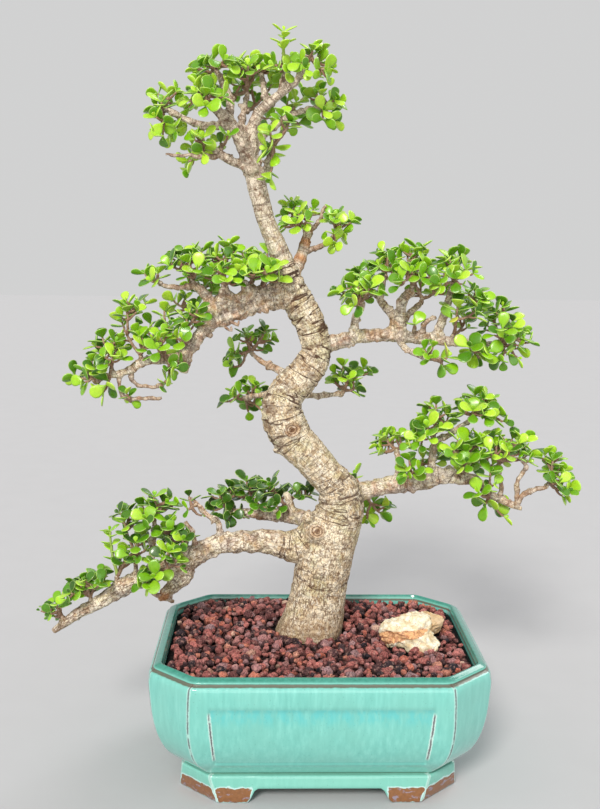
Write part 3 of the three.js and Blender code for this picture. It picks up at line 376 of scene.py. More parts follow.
curves = [wood_curve(chain) for chain in [TRUNK, *LIMBS, *ROOTLETS]]
print("curve points in all:", sum(len(curve) for curve in curves))

# %% [markdown]
# Old wood is never a plain cylinder. A limb swells and shrinks along its length and
# around it, most where it is thin, and every few millimetres a ring marks where a pair
# of leaves once stood.

# %% Tubes with a living surface
THIN = 3.3  # chains and ends with a smaller radius stay out of the remesh
RING_SPACING = 6.5


def living_tube(curve, seed, lively=1.0):
    """A tube whose radius swells along and around it; the seed 0 is the even trunk."""
    widest = curve[:, 3].max()
    sides = int(min(44, max(10, 2.3 * widest)))
    points, faces = tube(curve[:, :3], curve[:, 3], sides)
    body = len(curve) * sides
    middles = np.repeat(curve[:, :3], sides, axis=0)
    run = run_along(curve[:, :3])
    ring = np.exp(-(((run / RING_SPACING + 0.37 * seed) % 1 - 0.5) / 0.16) ** 2)
    knotty = min(1.0, 9 / widest)
    if seed == 0:
        lively = 0.4
    swell = []
    for place, radius, raised in zip(points[:body], np.repeat(curve[:, 3], sides),
                                     np.repeat(ring, sides)):
        size = max(radius, 4.0)
        broad = noise.noise(Vector(place / (1.5 * size)) + Vector((seed, 0, 0)))
        small = noise.noise(Vector(place / (0.5 * size)) + Vector((0, seed, 0)))
        swell.append(1 + lively * ((0.03 + 0.16 * knotty) * broad
                                   + (0.02 + 0.12 * knotty) * small + 0.10 * knotty * raised))
    points[:body] = middles + (points[:body] - middles) * np.array(swell)[:, None]
    return points, faces, tube_grain(curve[:, :3], curve[:, 3], sides)


thick_curves = [curve for curve in curves if curve[:, 3].max() >= THIN]
thin_curves = [curve for curve in curves if curve[:, 3].max() < THIN]
print(len(thick_curves), "thick tubes,", len(thin_curves), "thin ones")

# %% [markdown]
# Burls are round swellings where many buds woke up at one spot. They are added as balls
# before the fusing, so that the wood closes round them.

# %% Burls and the fused body
BURLS = [[4, 224, 18, 20.5], [-9, 238, 2, 6], [-88, 447, 0, 6], [-74, 453, 4, 7.5],
         [-63, 459, 8, 6.5], [-98, 441, 2, 6], [-50, 462, 12, 7], [-128, 190, -4, 6],
         [-143, 168, 0, 7], [-152, 160, -5, 4.2], [-150, 153, 2, 3.4], [78, 424, 14, 6],
         [62, 420, 12, 4.6], [118, 283, 12, 6.5], [130, 284, 10, 6.5], [-66, 574, 6, 7],
         [-98, 449, 6, 7], [-84, 451, 10, 7.2], [-70, 452, 13, 7.6], [-56, 457, 14, 8.6],
         [-42, 462, 17, 9.5], [-40, 465, 11, 7], [-51, 460, 8, 4.6], [-47, 451, 10, 5],
         [-58, 458, 6, 4], [-64, 453, 5, 4.8], [-67, 458, 4, 4.4], [-70, 463, 4, 4],
         [-73, 468, 5, 3.6], [-79, 450, 4, 4.4], [-90, 456, 1, 4.4], [-91, 460, 1, 4],
         [-92, 465, 2, 3.5], [-86, 455, 2, 4.5], [-97, 446, 0, 4.8], [-64, 446, 7, 4.5],
         [-73, 442, 8, 4.2], [-109, 446, 4, 5], [-33, 322, 4, 6.5], [-43, 316, 10, 5.5],
         [-50, 338, 14, 5.5], [-40, 305, 12, 4.5]]  # x, z, depth, radius
CELL = 1.5 * MM
SMOOTH_ROUNDS = 3


def ball(subdivisions):
    """Points and faces of a round solid of triangles with a radius of one."""
    builder = bmesh.new()
    bmesh.ops.create_icosphere(builder, subdivisions=subdivisions, radius=1.0)
    points = np.array([vertex.co for vertex in builder.verts])
    faces = [tuple(vertex.index for vertex in face.verts) for face in builder.faces]
    builder.free()
    return points, faces


def fused(parts, cell, rounds):
    """Points in millimetres, faces and outward ways of solids melted into one skin."""
    points, faces = stacked(parts)
    raw = mesh_piece("raw", points, faces, None)
    remesh = raw.modifiers.new("fuse", "REMESH")
    remesh.mode = "VOXEL"
    remesh.voxel_size = cell
    soften = raw.modifiers.new("soften", "SMOOTH")
    soften.factor = 0.5
    soften.iterations = rounds
    graph = bpy.context.evaluated_depsgraph_get()
    skin = bpy.data.meshes.new_from_object(raw.evaluated_get(graph))
    bpy.data.objects.remove(raw)
    places = np.empty(len(skin.vertices) * 3)
    skin.vertices.foreach_get("co", places)
    ways = np.empty(len(skin.vertices) * 3)
    skin.vertices.foreach_get("normal", ways)
    faces = [tuple(face.vertices) for face in skin.polygons]
    bpy.data.meshes.remove(skin)
    return to_ruler(places.reshape(-1, 3)), faces, ways.reshape(-1, 3)


ball_points, ball_faces = ball(3)
wood_parts = [living_tube(curve, seed)[:2] for seed, curve in enumerate(thick_curves)]
wood_parts += [(ball_points * radius + placed(x, z, depth), ball_faces)
               for x, z, depth, radius in BURLS]
surface, fused_faces, outward = fused(wood_parts, CELL, SMOOTH_ROUNDS)
count = len(surface)
print("fused wood:", count, "points,", len(fused_faces), "faces")

# %% [markdown]
# The foot of the trunk spreads where it meets the soil, more to the left, where a root
# runs. Wider rings at the bottom of the curve would do it too, but rings that tilt with
# the curve bulge; pulling the finished skin outward keeps the sweep even.

# %% The foot spreads
FOOT_X, FOOT_Y = -6, 26  # middle of the foot
FLARE_FROM, FLARE_TO = 185, 118  # heights between which it widens
FLARE_REACH = 60  # wood further out than this isn't the foot
FLARE_RIGHT, FLARE_LEFT, FLARE_FRONT = -3.5, -16.4, 0.16
spread = np.clip((FLARE_FROM - surface[:, 2]) / (FLARE_FROM - FLARE_TO), 0, 1) ** 1.7
spread = spread * (np.hypot(surface[:, 0], surface[:, 1] - FOOT_Y) < FLARE_REACH)
leftward = np.clip((30 - surface[:, 0]) / 55, 0, 1)
surface[:, 0] += spread * (FLARE_RIGHT + (FLARE_LEFT - FLARE_RIGHT) * leftward)
surface[:, 1] += spread * FLARE_FRONT * (surface[:, 1] - FOOT_Y)
foot_x = surface[spread > 0.9, 0]
print("the foot reaches from", foot_x.min(), "to", foot_x.max())

# %% [markdown]
# To lay wrinkles round a bent limb and cracks along it, each point of the skin must know
# where it sits on its limb: two distances across the grain and one along it. We look
# for the curve point whose own skin is nearest, which also works in the crotches.

# %% Where each point lies on its limb
samples = np.vstack(curves)


def carried_sides(curve):
    """A way square to the curve at each point, turned as little as possible."""
    ways = np.gradient(curve[:, :3], axis=0)
    ways /= norm(ways, axis=1)[:, None]
    side = np.cross([0.3, 1.0, 0.1], ways[0])
    sides = []
    for way in ways:
        side = unit(side - way * side.dot(way))
        sides.append(side)
    run = run_along(curve[:, :3])
    turning = norm(np.gradient(ways, axis=0), axis=1) / STEP * curve[:, 3]
    bend = np.convolve(np.pad(turning, 4, mode="edge"), np.full(9, 1 / 9), mode="valid")
    return ways, np.array(sides), run, np.clip((bend - 0.10) / 0.26, 0, 1)


carried = [carried_sides(curve) for curve in curves]
ways = np.vstack([part[0] for part in carried])
sides_of = np.vstack([part[1] for part in carried])
travel = np.concatenate([part[2] + 137.0 * index for index, part in enumerate(carried)])
bend_of = np.concatenate([part[3] for part in carried])


def nearest_sample(points):
    """Index of the curve point whose skin is nearest to each point."""
    squares = (samples[:, :3] ** 2).sum(axis=1)
    found = np.empty(len(points), int)
    for first in range(0, len(points), 8000):
        block = points[first:first + 8000]
        apart = (block ** 2).sum(axis=1)[:, None] + squares - 2 * block @ samples[:, :3].T
        apart = np.sqrt(np.clip(apart, 0, None)) - samples[:, 3]
        found[first:first + 8000] = apart.argmin(axis=1)
    return found


near = nearest_sample(surface)
arms = surface - samples[near, :3]
around = np.cross(ways[near], sides_of[near])
grain = np.column_stack([(arms * sides_of[near]).sum(axis=1), (arms * around).sum(axis=1),
                         travel[near] + (arms * ways[near]).sum(axis=1)])
thickness = samples[near, 3]
bend = bend_of[near]
height = surface[:, 2]
on_trunk = near < len(curves[0])
print("trunk skin:", int(on_trunk.sum()), "points, limb skin:", int((~on_trunk).sum()))

# %% [markdown]
# The bark is carved next. Creases run round the bends where the wood was squeezed; low
# on the trunk the bark has split along its length; two old branch scars have healed
# into eyes with coiled lips. The old limb at the upper left is all knots and hollows.
# What shows at the outline is carved for real, and the finest lines are left to the
# bark's bump.

# %% Carve creases, splits and scars
EYES = [[0, 223, 7.6], [-26, 326, 7.4]]  # x, z and radius of the healed scars
NO_EYE = 99.0
CUT_ENDS = [[-132, 380, -3, 5.4], [-32, 262, 44, 4.4], [-10, 523, 33, 4.4], [-94, 464, 13, 4],
            [-105, 416, -4, 3.2]]  # x, z, depth, radius of the sawn ends
TORN_WOOD = [[-20, 490, 29, 8], [-15, 506, 32, 8], [-11, 520, 33, 7], [-153, 157, -3, 8]]
CREASE_DEPTH, SPLIT_DEPTH = 1.1, 0.75
KNOT_HEIGHT, HOLLOW_DEPTH = 4.6, 2.6


def rising(value, start, reach):
    """0 up to the start and 1 from a reach further on."""
    return np.clip((value - start) / reach, 0, 1)


def noise_on(points, size=1.0, shift=(0, 0, 0)):
    """A noise at each point, with features of about that size."""
    return np.array([noise.noise(Vector(place) / size + Vector(shift)) for place in points])


def carved_lines(points, sizes, width):
    """1 on thin lines where a noise over the stretched grain changes sign."""
    level = noise_on(points / np.array(sizes))
    return np.clip(1 - np.abs(level) / width, 0, 1)


creases = carved_lines(grain, [21, 21, 3.6], 0.13)
creases = np.maximum(creases, 0.7 * carved_lines(grain + 50, [11, 11, 2.6], 0.10))
wrinkled = rising(height, 325, 25) * rising(-height, -500, 20)
rings = carved_lines(grain + 90, [44, 44, 7.5], 0.15)
creases = np.maximum(creases, np.where(on_trunk, np.maximum(wrinkled, bend), 0.3) * rings)
splits = carved_lines(grain, [3.4, 3.4, 17], 0.22)
rough = noise_on(surface, 3.1)
lumps = noise_on(surface, 6.5)

size = np.clip((thickness - 2.5) / 8, 0.2, 1)
crease_share = np.where(on_trunk, np.clip(0.32 + 0.6 * bend + 0.75 * wrinkled, 0, 1.1),
                        0.6 + 0.35 * bend) * size
split_share = np.where(on_trunk, np.where(height < 290, 1.0, 0.45), 0.85) * size
carve = -CREASE_DEPTH * crease_share * creases - SPLIT_DEPTH * split_share * splits
knobbly = np.where(on_trunk, 0.5 + 0.6 * wrinkled, 1.7)
carve += 0.35 * size * rough + knobbly * size * lumps

gnarled = (rising(-surface[:, 0], 36, 12) * rising(surface[:, 0], -150, 20)
           * rising(height, 385, 20) * rising(-height, -488, 10))
gnarled = np.where(on_trunk, 0, gnarled) * size  # the old limb at the upper left
knots = noise_on(surface, 5.4, (7, 3, 1))
hollows = carved_lines(surface + 30, [9, 9, 9], 0.2)
carve += gnarled * (KNOT_HEIGHT * knots - HOLLOW_DEPTH * hollows)
creases = np.maximum(creases, gnarled * hollows)

eye_reach = np.full(count, NO_EYE)  # distance from the middle of a scar
for x, z, radius in EYES:
    centre = placed(x, z, 0)
    across, rise = surface[:, 0] - centre[0], surface[:, 2] - centre[2]
    apart = np.hypot(across, 1.12 * rise)
    facing = (outward[:, 1] < -0.2) & (surface[:, 1] < 25) & (apart < 2 * radius)
    coil = np.cos(2 * math.pi * apart / 3.4 - np.arctan2(rise, across))
    inner = np.clip(1 - (apart / radius) ** 4, 0, 1)
    shape = 1.9 * np.exp(-((apart - radius) / 1.8) ** 2) + 0.7 * coil * inner
    shape = shape - 2.2 * np.exp(-(apart / 1.9) ** 2)
    carve += np.where(facing, shape, 0)
    eye_reach = np.where(facing, apart, eye_reach)

angle = np.arctan2(surface[:, 1] - FOOT_Y, surface[:, 0] - FOOT_X)
ribs = 0.4 * np.sin(5 * angle + 0.8) + 0.5 * np.sin(9 * angle)
carve += ribs * rising(-height, -142, 20) * on_trunk

cut_mark = np.zeros(count)
torn_mark = np.zeros(count)
for x, z, depth, radius in TORN_WOOD:
    apart = norm(surface - placed(x, z, depth), axis=1)
    torn_mark = np.maximum(torn_mark, np.clip((radius - apart) / 2.5, 0, 1))
carve += 1.3 * torn_mark * (0.5 - splits)
for x, z, depth, radius in CUT_ENDS:
    apart = norm(surface - placed(x, z, depth), axis=1)
    cut_mark = np.maximum(cut_mark, np.clip((radius * 1.1 - apart) / 1.2, 0, 1))
print("carving from", round(float(carve.min()), 2), "to", round(float(carve.max()), 2), "mm")

# %% [markdown]
# Short spurs are left all over the limbs where leaves and side shoots dropped off. Each
# is a small cone of skin pulled outward.

# %% Spurs on the limbs
SPURS = 520
limb_samples = [index for index in range(len(curves[0]), len(samples))
                if 2.2 < samples[index, 3] < 11]
spur_mark = np.zeros(count)
for spur in range(SPURS):
    index = limb_samples[int(len(limb_samples) * draw(spur, 1, 5, 1))]
    turn = 2 * math.pi * draw(spur, 1, 5, 2)
    way = (sides_of[index] * math.cos(turn)
           + np.cross(ways[index], sides_of[index]) * math.sin(turn))
    root = samples[index, :3] + way * samples[index, 3]
    close = np.flatnonzero(np.abs(surface - root).max(axis=1) < 6)
    apart = norm(surface[close] - root, axis=1)
    wide = 1.3 + 1.2 * draw(spur, 1, 5, 3)
    bump = np.exp(-(apart / wide) ** 2)
    carve[close] += bump * (0.8 + 1.6 * draw(spur, 1, 5, 4))
    spur_mark[close] = np.maximum(spur_mark[close], bump)
surface = surface + outward * carve[:, None]
print(SPURS, "spurs raised")

# %% [markdown]
# ## Finishes
#
# Each finish is a small network: patterns computed from the position, in millimetres,
# are mixed into the colour, the roughness and a bump. Photographed textures would need
# unwrapping and repeat; computed ones fit any size. A small helper keeps them short.

# %% A helper that adds nodes
def linear(red, green, blue):
    """A colour as seen on a screen, 0 to 255, to the values light is computed with."""
    shares = [value / 255 for value in (red, green, blue)]
    return (*[share / 12.92 if share <= 0.04045 else ((share + 0.055) / 1.055) ** 2.4
              for share in shares], 1.0)


class Finish:
    """A material in the making: each method adds one node and gives its output."""

    def __init__(self, name):
        self.material = bpy.data.materials.new(name)
        self.material.use_nodes = True
        self.nodes = self.material.node_tree.nodes
        self.links = self.material.node_tree.links
        self.shader = self.nodes["Principled BSDF"]
        place = self.add("ShaderNodeTexCoord").outputs["Object"]
        self.place = self.add("ShaderNodeVectorMath", {0: place, "Scale": 1 / MM},
                              operation="SCALE").outputs["Vector"]

    def feed(self, socket, value):
        """Three numbers are a colour as seen on a screen."""
        if isinstance(value, bpy.types.NodeSocket):
            self.links.new(value, socket)
        else:
            is_colour = isinstance(value, tuple) and len(value) == 3
            socket.default_value = linear(*value) if is_colour else value

    def add(self, kind, values=None, **settings):
        """A node with these settings, its sockets fed with values or other outputs."""
        node = self.nodes.new(kind)
        for key, value in settings.items():
            setattr(node, key, value)
        for socket, value in (values or {}).items():
            self.feed(node.inputs[socket], value)
        return node

    def named(self, key):
        return self.add("ShaderNodeAttribute", attribute_name=key).outputs["Fac"]

    def shrunk(self, source, across, along):
        factors = Vector((1 / across, 1 / across, 1 / along))
        return self.add("ShaderNodeVectorMath", {0: source, 1: factors},
                        operation="MULTIPLY").outputs["Vector"]

    def stretched(self, across, upright):
        """The place with features that are wider or taller than usual."""
        return self.shrunk(self.place, across, upright)

    def along_grain(self, across, along):
        """The place on the limb, with features of these sizes across and along it."""
        source = self.add("ShaderNodeAttribute", attribute_name="grain").outputs["Vector"]
        return self.shrunk(source, across, along)

    def noise(self, size, detail=4, rough=0.55, place=None, warp=0.0):
        return self.add("ShaderNodeTexNoise", {
            "Vector": place or self.place, "Scale": 1 / size, "Detail": detail,
            "Roughness": rough, "Distortion": warp}).outputs["Fac"]

    def thin_lines(self, place, width, warp=0.3):
        """1 on thin lines: where a noise, that is 0.5 in the middle, crosses its middle."""
        apart = self.sum("SUBTRACT", self.noise(1.0, 2, 0.5, place, warp), 0.5)
        return self.between(self.sum("ABSOLUTE", apart, 0.0), width, 0.3 * width)

    def cells(self, size):
        return self.add("ShaderNodeTexVoronoi", {
            "Vector": self.place, "Scale": 1 / size}).outputs["Distance"]

    def ramp(self, share, *stops):
        """Colours or greys at positions along a share."""
        node = self.add("ShaderNodeValToRGB", {"Fac": share})
        elements = node.color_ramp.elements
        while len(elements) < len(stops):
            elements.new(0.5)
        for element, (position, colour) in zip(elements, stops):
            element.position = position
            grey = (colour, colour, colour, 1.0)
            element.color = linear(*colour) if isinstance(colour, tuple) else grey
        return node.outputs["Color"]

    def mix(self, share, one, other, blend="MIX"):
        return self.add("ShaderNodeMix", {"Factor": share, 6: one, 7: other},
                        data_type="RGBA", blend_type=blend).outputs[2]

    def sum(self, operation, one, other):
        return self.add("ShaderNodeMath", {0: one, 1: other}, operation=operation).outputs[0]

    def times(self, one, other):
        return self.sum("MULTIPLY", one, other)

    def plus(self, one, other):
        return self.sum("ADD", one, other)

    def between(self, value, low, high, to_low=0.0, to_high=1.0):
        """The value on a soft slope from one range of numbers to another."""
        return self.add("ShaderNodeMapRange", {
            "Value": value, "From Min": low, "From Max": high, "To Min": to_low,
            "To Max": to_high}, interpolation_type="SMOOTHSTEP").outputs["Result"]

    def bump(self, height, depth, strength=1.0, under=None):
        """Relief of a depth in millimetres, over another relief if given."""
        values = {"Strength": strength, "Distance": depth * MM, "Height": height}
        if under:
            values["Normal"] = under
        return self.add("ShaderNodeBump", values).outputs["Normal"]

    def finish(self, colour, roughness, normal=None, **constants):
        self.feed(self.shader.inputs["Base Color"], colour)
        self.feed(self.shader.inputs["Roughness"], roughness)
        if normal:
            self.links.new(normal, self.shader.inputs["Normal"])
        for key, value in constants.items():
            self.shader.inputs[key.replace("_", " ")].default_value = value
        return self.material


print("finish helper ready")

# %% [markdown]
# ## Bark
#
# The bark of an old dwarf jade is thin, dry and pale: cream and tan on the trunk, rusty
# where a limb was rubbed, grey with a purple tinge on younger wood near the top. Dark
# lines sit in the creases, and the deeper creases and hollows are darkened further as
# painted shade. Where the trunk is thick the bark has split along its length. The twigs
# are red-brown while they are young.

# %% Bark finish
def bark_finish():
    make = Finish("bark")
    fibres = make.noise(1.0, 5, 0.62, make.along_grain(1.5, 5.5), 0.25)
    flakes = make.noise(1.0, 4, 0.6, make.along_grain(3.2, 5.0), 0.6)
    patches = make.noise(12, 5, 0.62)
    fine = make.noise(0.9, 4, 0.65)
    colour = make.ramp(patches, (0.30, (190, 160, 124)), (0.44, (226, 202, 166)),
                       (0.56, (248, 232, 202)), (0.74, (236, 218, 186)))
    colour = make.mix(make.between(flakes, 0.48, 0.62, 0, 0.7), colour, (255, 248, 230))
    moss = make.times(make.between(make.noise(20, 4), 0.50, 0.62), 0.35)
    colour = make.mix(moss, colour, (206, 204, 150))
    limb = make.between(make.named("thick"), 15, 9)
    pale = make.between(make.noise(6, 5, 0.6, None, 0.6), 0.44, 0.56, 0, 0.7)
    colour = make.mix(make.times(pale, limb), colour, (255, 244, 226))
    scurf = make.between(make.noise(1.0, 5, 0.65, make.along_grain(3.0, 3.4), 0.5), 0.52, 0.60)
    scurf = make.times(scurf, make.times(limb, 0.3))
    colour = make.mix(scurf, colour, (140, 102, 74))
    rusty = make.between(make.noise(15, 4, 0.6, None, 0.8), 0.49, 0.60)
    rusty = make.times(rusty, make.times(limb, 0.5))
    colour = make.mix(rusty, colour, (188, 128, 90))
    grey = make.between(make.noise(14, 4, 0.6, make.stretched(1.3, 0.8)), 0.5, 0.62)
    grey = make.times(grey, make.times(limb, 0.5))
    colour = make.mix(grey, colour, (204, 192, 184))
    upper = make.between(make.named("height"), 480, 560, 0, 0.75)
    mottled = make.mix(make.between(flakes, 0.36, 0.52), (136, 106, 92), (238, 222, 202))
    colour = make.mix(upper, colour, mottled)
    cracks = make.ramp(fibres, (0.36, 0.0), (0.47, 1.0))
    lower = make.between(make.named("height"), 330, 150, 0.42, 0.9)
    cracks = make.mix(lower, (1, 1, 1, 1), cracks)
    colour = make.mix(0.22, colour, make.mix(cracks, (128, 94, 62), (1, 1, 1, 1)), "MULTIPLY")
    split = make.times(make.thin_lines(make.along_grain(3.2, 9), 0.05), lower)
    colour = make.mix(make.times(split, 0.85), colour, (98, 68, 44))
    crackle = make.thin_lines(make.along_grain(3.6, 5.5), 0.04)
    colour = make.mix(make.times(crackle, 0.6), colour, (112, 80, 56))
    squeezed = make.named("bend")
    ring = make.thin_lines(make.along_grain(17, 2.6), 0.03, 0.15)
    ring = make.times(ring, make.between(squeezed, 0.0, 0.7, 0.5, 0.65))
    ring = make.times(ring, make.between(limb, 0, 1, 1, 0.35))
    colour = make.mix(ring, colour, (104, 76, 56))
    wrinkle = make.thin_lines(make.along_grain(42, 9.0), 0.032, 0.2)
    wrinkle = make.times(wrinkle, make.between(squeezed, 0.1, 0.8, 0.5, 0.95))
    wrinkle = make.times(wrinkle, make.between(make.named("height"), 290, 370, 0.8, 1.0))
    colour = make.mix(wrinkle, colour, (74, 50, 38))
    colour = make.mix(0.3, colour, make.ramp(fine, (0.34, 0.4), (0.52, 1.0)), "MULTIPLY")
    # the bark's dark lines in the creases and hollows, darkened further there as painted shade
    crease_dark_and_shade = make.between(make.named("crease_dark_and_shade"), 0.35, 1.0, 0, 0.6)
    colour = make.mix(crease_dark_and_shade, colour, (92, 64, 46))
    # the bark is darker towards the soil
    darker_near_soil = make.between(make.named("height"), 156, 120, 0, 0.45)
    colour = make.mix(darker_near_soil, colour, (148, 116, 84))
    grown = make.named("young")
    torn = make.mix(make.between(fibres, 0.4, 0.6), (150, 92, 54), (206, 150, 100))
    colour = make.mix(make.times(make.named("torn"), 0.85), colour, torn)
    eye = make.plus(make.named("eye"), make.times(make.noise(3, 3), 1.6))
    coils = make.between(make.sum("SINE", make.times(eye, 2.5), 0.0), 0.15, 0.8)
    coils = make.times(coils, make.between(eye, 8.9, 7.6))
    coils = make.sum("MAXIMUM", coils, make.between(eye, 3.2, 2.0))
    colour = make.mix(make.between(eye, 9.5, 6.5, 0, 0.4), colour, (176, 132, 92))
    colour = make.mix(make.times(coils, 0.8), colour, (84, 52, 34))
    colour = make.mix(make.times(make.named("cut"), 0.85), colour, (232, 218, 192))
    young = make.mix(flakes, (112, 70, 58), (186, 150, 122))
    colour = make.mix(make.sum("MINIMUM", grown, 1.0), colour, young)
    colour = make.mix(make.between(grown, 1.1, 1.6), colour, (164, 186, 96))
    relief = make.bump(fibres, 1.1, 0.75)
    relief = make.bump(flakes, 0.7, 0.5, relief)
    relief = make.bump(fine, 0.45, 0.7, relief)
    return make.finish(colour, make.ramp(fine, (0.3, 0.95), (0.7, 0.74)), relief,
                       Specular_IOR_Level=0.25)


BARK = bark_finish()
print("bark network:", len(BARK.node_tree.nodes), "nodes")

# %% [markdown]
# The carved skin becomes the trunk piece. The thin ends of the limbs were kept as plain
# tubes and are added here, so that the fine twigs stay round.

# %% The trunk piece
def joined_values(rows):
    return {key: np.concatenate([row[key] for row in rows]) for key in rows[0]}


def plain_bark(points, grain_at, thick, young):
    """Bark values of a tube that was never carved."""
    blank = np.zeros(len(points))
    return {"height": points[:, 2], "grain": grain_at, "thick": blank + thick, "bend": blank,
            "crease_dark_and_shade": blank, "eye": blank + NO_EYE, "cut": blank, "torn": blank,
            "young": blank + young}


# partly painted shade: the crease value darkens the bark in the carved creases and hollows
wood_rows = [{"height": height, "grain": grain, "thick": thickness,
              "bend": np.where(on_trunk, np.maximum(bend, wrinkled), bend),
              "crease_dark_and_shade": np.clip(creases * crease_share, 0, 1), "eye": eye_reach,
              "cut": cut_mark, "torn": torn_mark, "young": 0.3 * spur_mark}]
wood_parts = [(surface, fused_faces)]
for seed, curve in enumerate(thin_curves):
    slim = curve.copy()
    for index in range(1, len(slim) - 1):
        shift = noise.noise_vector(Vector(slim[index, :3]) / 7.0)
        slim[index, :3] += 1.5 * np.array(shift)
    points, faces, grain_at = living_tube(slim, seed + 3, 2.6)
    wood_parts.append((points, faces))
    wood_rows.append(plain_bark(points, grain_at, 4.0, 0.35))
wood_points, wood_faces = stacked(wood_parts)
trunk = mesh_piece("trunk_and_limbs", wood_points, wood_faces, BARK, joined_values(wood_rows))
declare(trunk, "bark", "trunk")
print("trunk piece:", sum(len(face) - 2 for face in wood_faces), "triangles")

# %% [markdown]
# ## Leaves
#
# A dwarf jade leaf is a small fleshy spoon: narrow where it sits on the twig, widest past
# its middle and round at the end. It could be a flat card with a cut-out picture, but
# these leaves are thick and glossy and catch the light on their bellies. We bend one
# closed solid and copy it to every place.

# %% One leaf, lying along X, a unit long
LEAF_HALF_WIDTH = 0.365
LEAF_RINGS = [[0.00, 0.13, 0.070], [0.13, 0.24, 0.100], [0.31, 0.60, 0.125],
              [0.50, 0.92, 0.140], [0.69, 1.00, 0.125], [0.86, 0.82, 0.100],
              [0.957, 0.48, 0.065]]  # reach, share of width, thickness
LEAF_SIDES = 8


def leaf_solid():
    """Points (reach, across, height), their faces and how near each is to the margin."""
    angles = np.arange(LEAF_SIDES) * 2 * math.pi / LEAF_SIDES
    points, margin = [], []
    for reach, width, thickness in LEAF_RINGS:
        for angle in angles:
            across = math.cos(angle)
            level = 0.5 * thickness * math.sin(angle)
            points.append([reach, across * width * LEAF_HALF_WIDTH, level])
            margin.append(max(abs(across) ** 6, ((reach - 0.4) / 0.6) ** 9 if reach > 0.4 else 0))
    points += [[0.0, 0.0, 0.0], [1.0, 0.0, 0.0]]
    margin += [0.0, 1.0]
    faces = []
    rings = len(LEAF_RINGS)
    for ring in range(rings - 1):
        for side in range(LEAF_SIDES):
            after = (side + 1) % LEAF_SIDES
            low, high = ring * LEAF_SIDES, (ring + 1) * LEAF_SIDES
            faces.append((low + side, high + side, high + after, low + after))
    last = (rings - 1) * LEAF_SIDES
    for side in range(LEAF_SIDES):
        after = (side + 1) % LEAF_SIDES
        faces.append((rings * LEAF_SIDES, side, after))
        faces.append((rings * LEAF_SIDES + 1, last + after, last + side))
    return np.array(points), faces, np.array(margin)


LEAF_POINTS, LEAF_FACES, LEAF_MARGIN = leaf_solid()
print("one leaf:", sum(len(face) - 2 for face in LEAF_FACES), "triangles")

# %% [markdown]
# Every shoot opens at its tip into an opposite pair; the pair below sits crosswise to it
# and leans farther out, which makes the rosettes one sees from above. Between the two
# youngest leaves waits the next pair, still tiny.

# %% Leaves of one shoot
LEAN = 0.88  # between the way of growth and the blades of the top pair, in radians
LEAN_MORE = 0.34  # for each pair further down
PAIR_SPACING = 5.6
LADDER_LEAN = 1.12  # on the few tall shoots that bolted upward
UPWARD = 0.6


def turned(vector, axis, angle):
    """The vector turned about the axis it stands square to."""
    return vector * math.cos(angle) + np.cross(axis, vector) * math.sin(angle)


def opposite_pair(at, growth, out, lean, length, seeds, age):
    """The two leaves of a pair as a list of dictionaries."""
    across = np.cross(out, growth)
    pair = []
    for half, sign in enumerate([1, -1]):
        tilt = lean + 0.3 * (draw(*seeds, half, 2) - 0.5)
        blade = growth * math.cos(tilt) + sign * out * math.sin(tilt)
        face = growth * math.sin(tilt) - sign * out * math.cos(tilt)
        twist = 0.5 * (draw(*seeds, half, 5) - 0.5)
        pair.append({
            "at": at, "blade": blade, "face": turned(face, blade, twist),
            "across": turned(sign * across, blade, twist),
            "length": length * (0.90 + 0.2 * draw(*seeds, half, 3)),
            "curl": 0.14 * draw(*seeds, half, 6) - 0.02,
            "cup": 0.03 + 0.07 * draw(*seeds, half, 7),
            "wide": 0.84 + 0.32 * draw(*seeds, half, 9),
            "tone": draw(*seeds, half, 8), "age": age})
    return pair


def leaves_on(path, growth, turn, pairs, length, spray, shoot, ladder=0.0):
    """All leaves of a shoot whose twig follows the path up to its tip."""
    spacing = ladder or PAIR_SPACING
    level = unit(np.cross([1.0, 0.0, 0.0], growth))
    out = turned(level, growth, turn)
    tip = path[-1]
    leaves = opposite_pair(tip + growth * 0.8, growth, turned(out, growth, math.pi / 2), 0.3,
                           0.42 * length, (spray, shoot + 50), 0.0)
    back = np.cumsum(norm(np.diff(path[::-1], axis=0), axis=1))
    for pair in range(pairs):
        step = int(np.searchsorted(back, pair * spacing))
        at = path[::-1][min(step, len(path) - 2)] if pair else tip
        seeds = (spray, shoot + 100 * pair)
        size = length * (1 + 0.03 * pair)
        lean = LADDER_LEAN if ladder else min(LEAN + LEAN_MORE * pair, 1.4)
        leaves += opposite_pair(at, growth, out, lean, size, seeds, pair / 3)
        out = turned(out, growth, math.pi / 2)
    return leaves


def leaf_mesh_points(leaf):
    reach, across, height = LEAF_POINTS.T
    bend = leaf["cup"] * (across / LEAF_HALF_WIDTH) ** 2 - leaf["curl"] * reach ** 2
    across = across * leaf["wide"]
    return (leaf["at"] + leaf["length"] * (
        np.outer(reach, leaf["blade"]) + np.outer(across, leaf["across"])
        + np.outer(height + bend, leaf["face"])))


print("leaf rules ready")
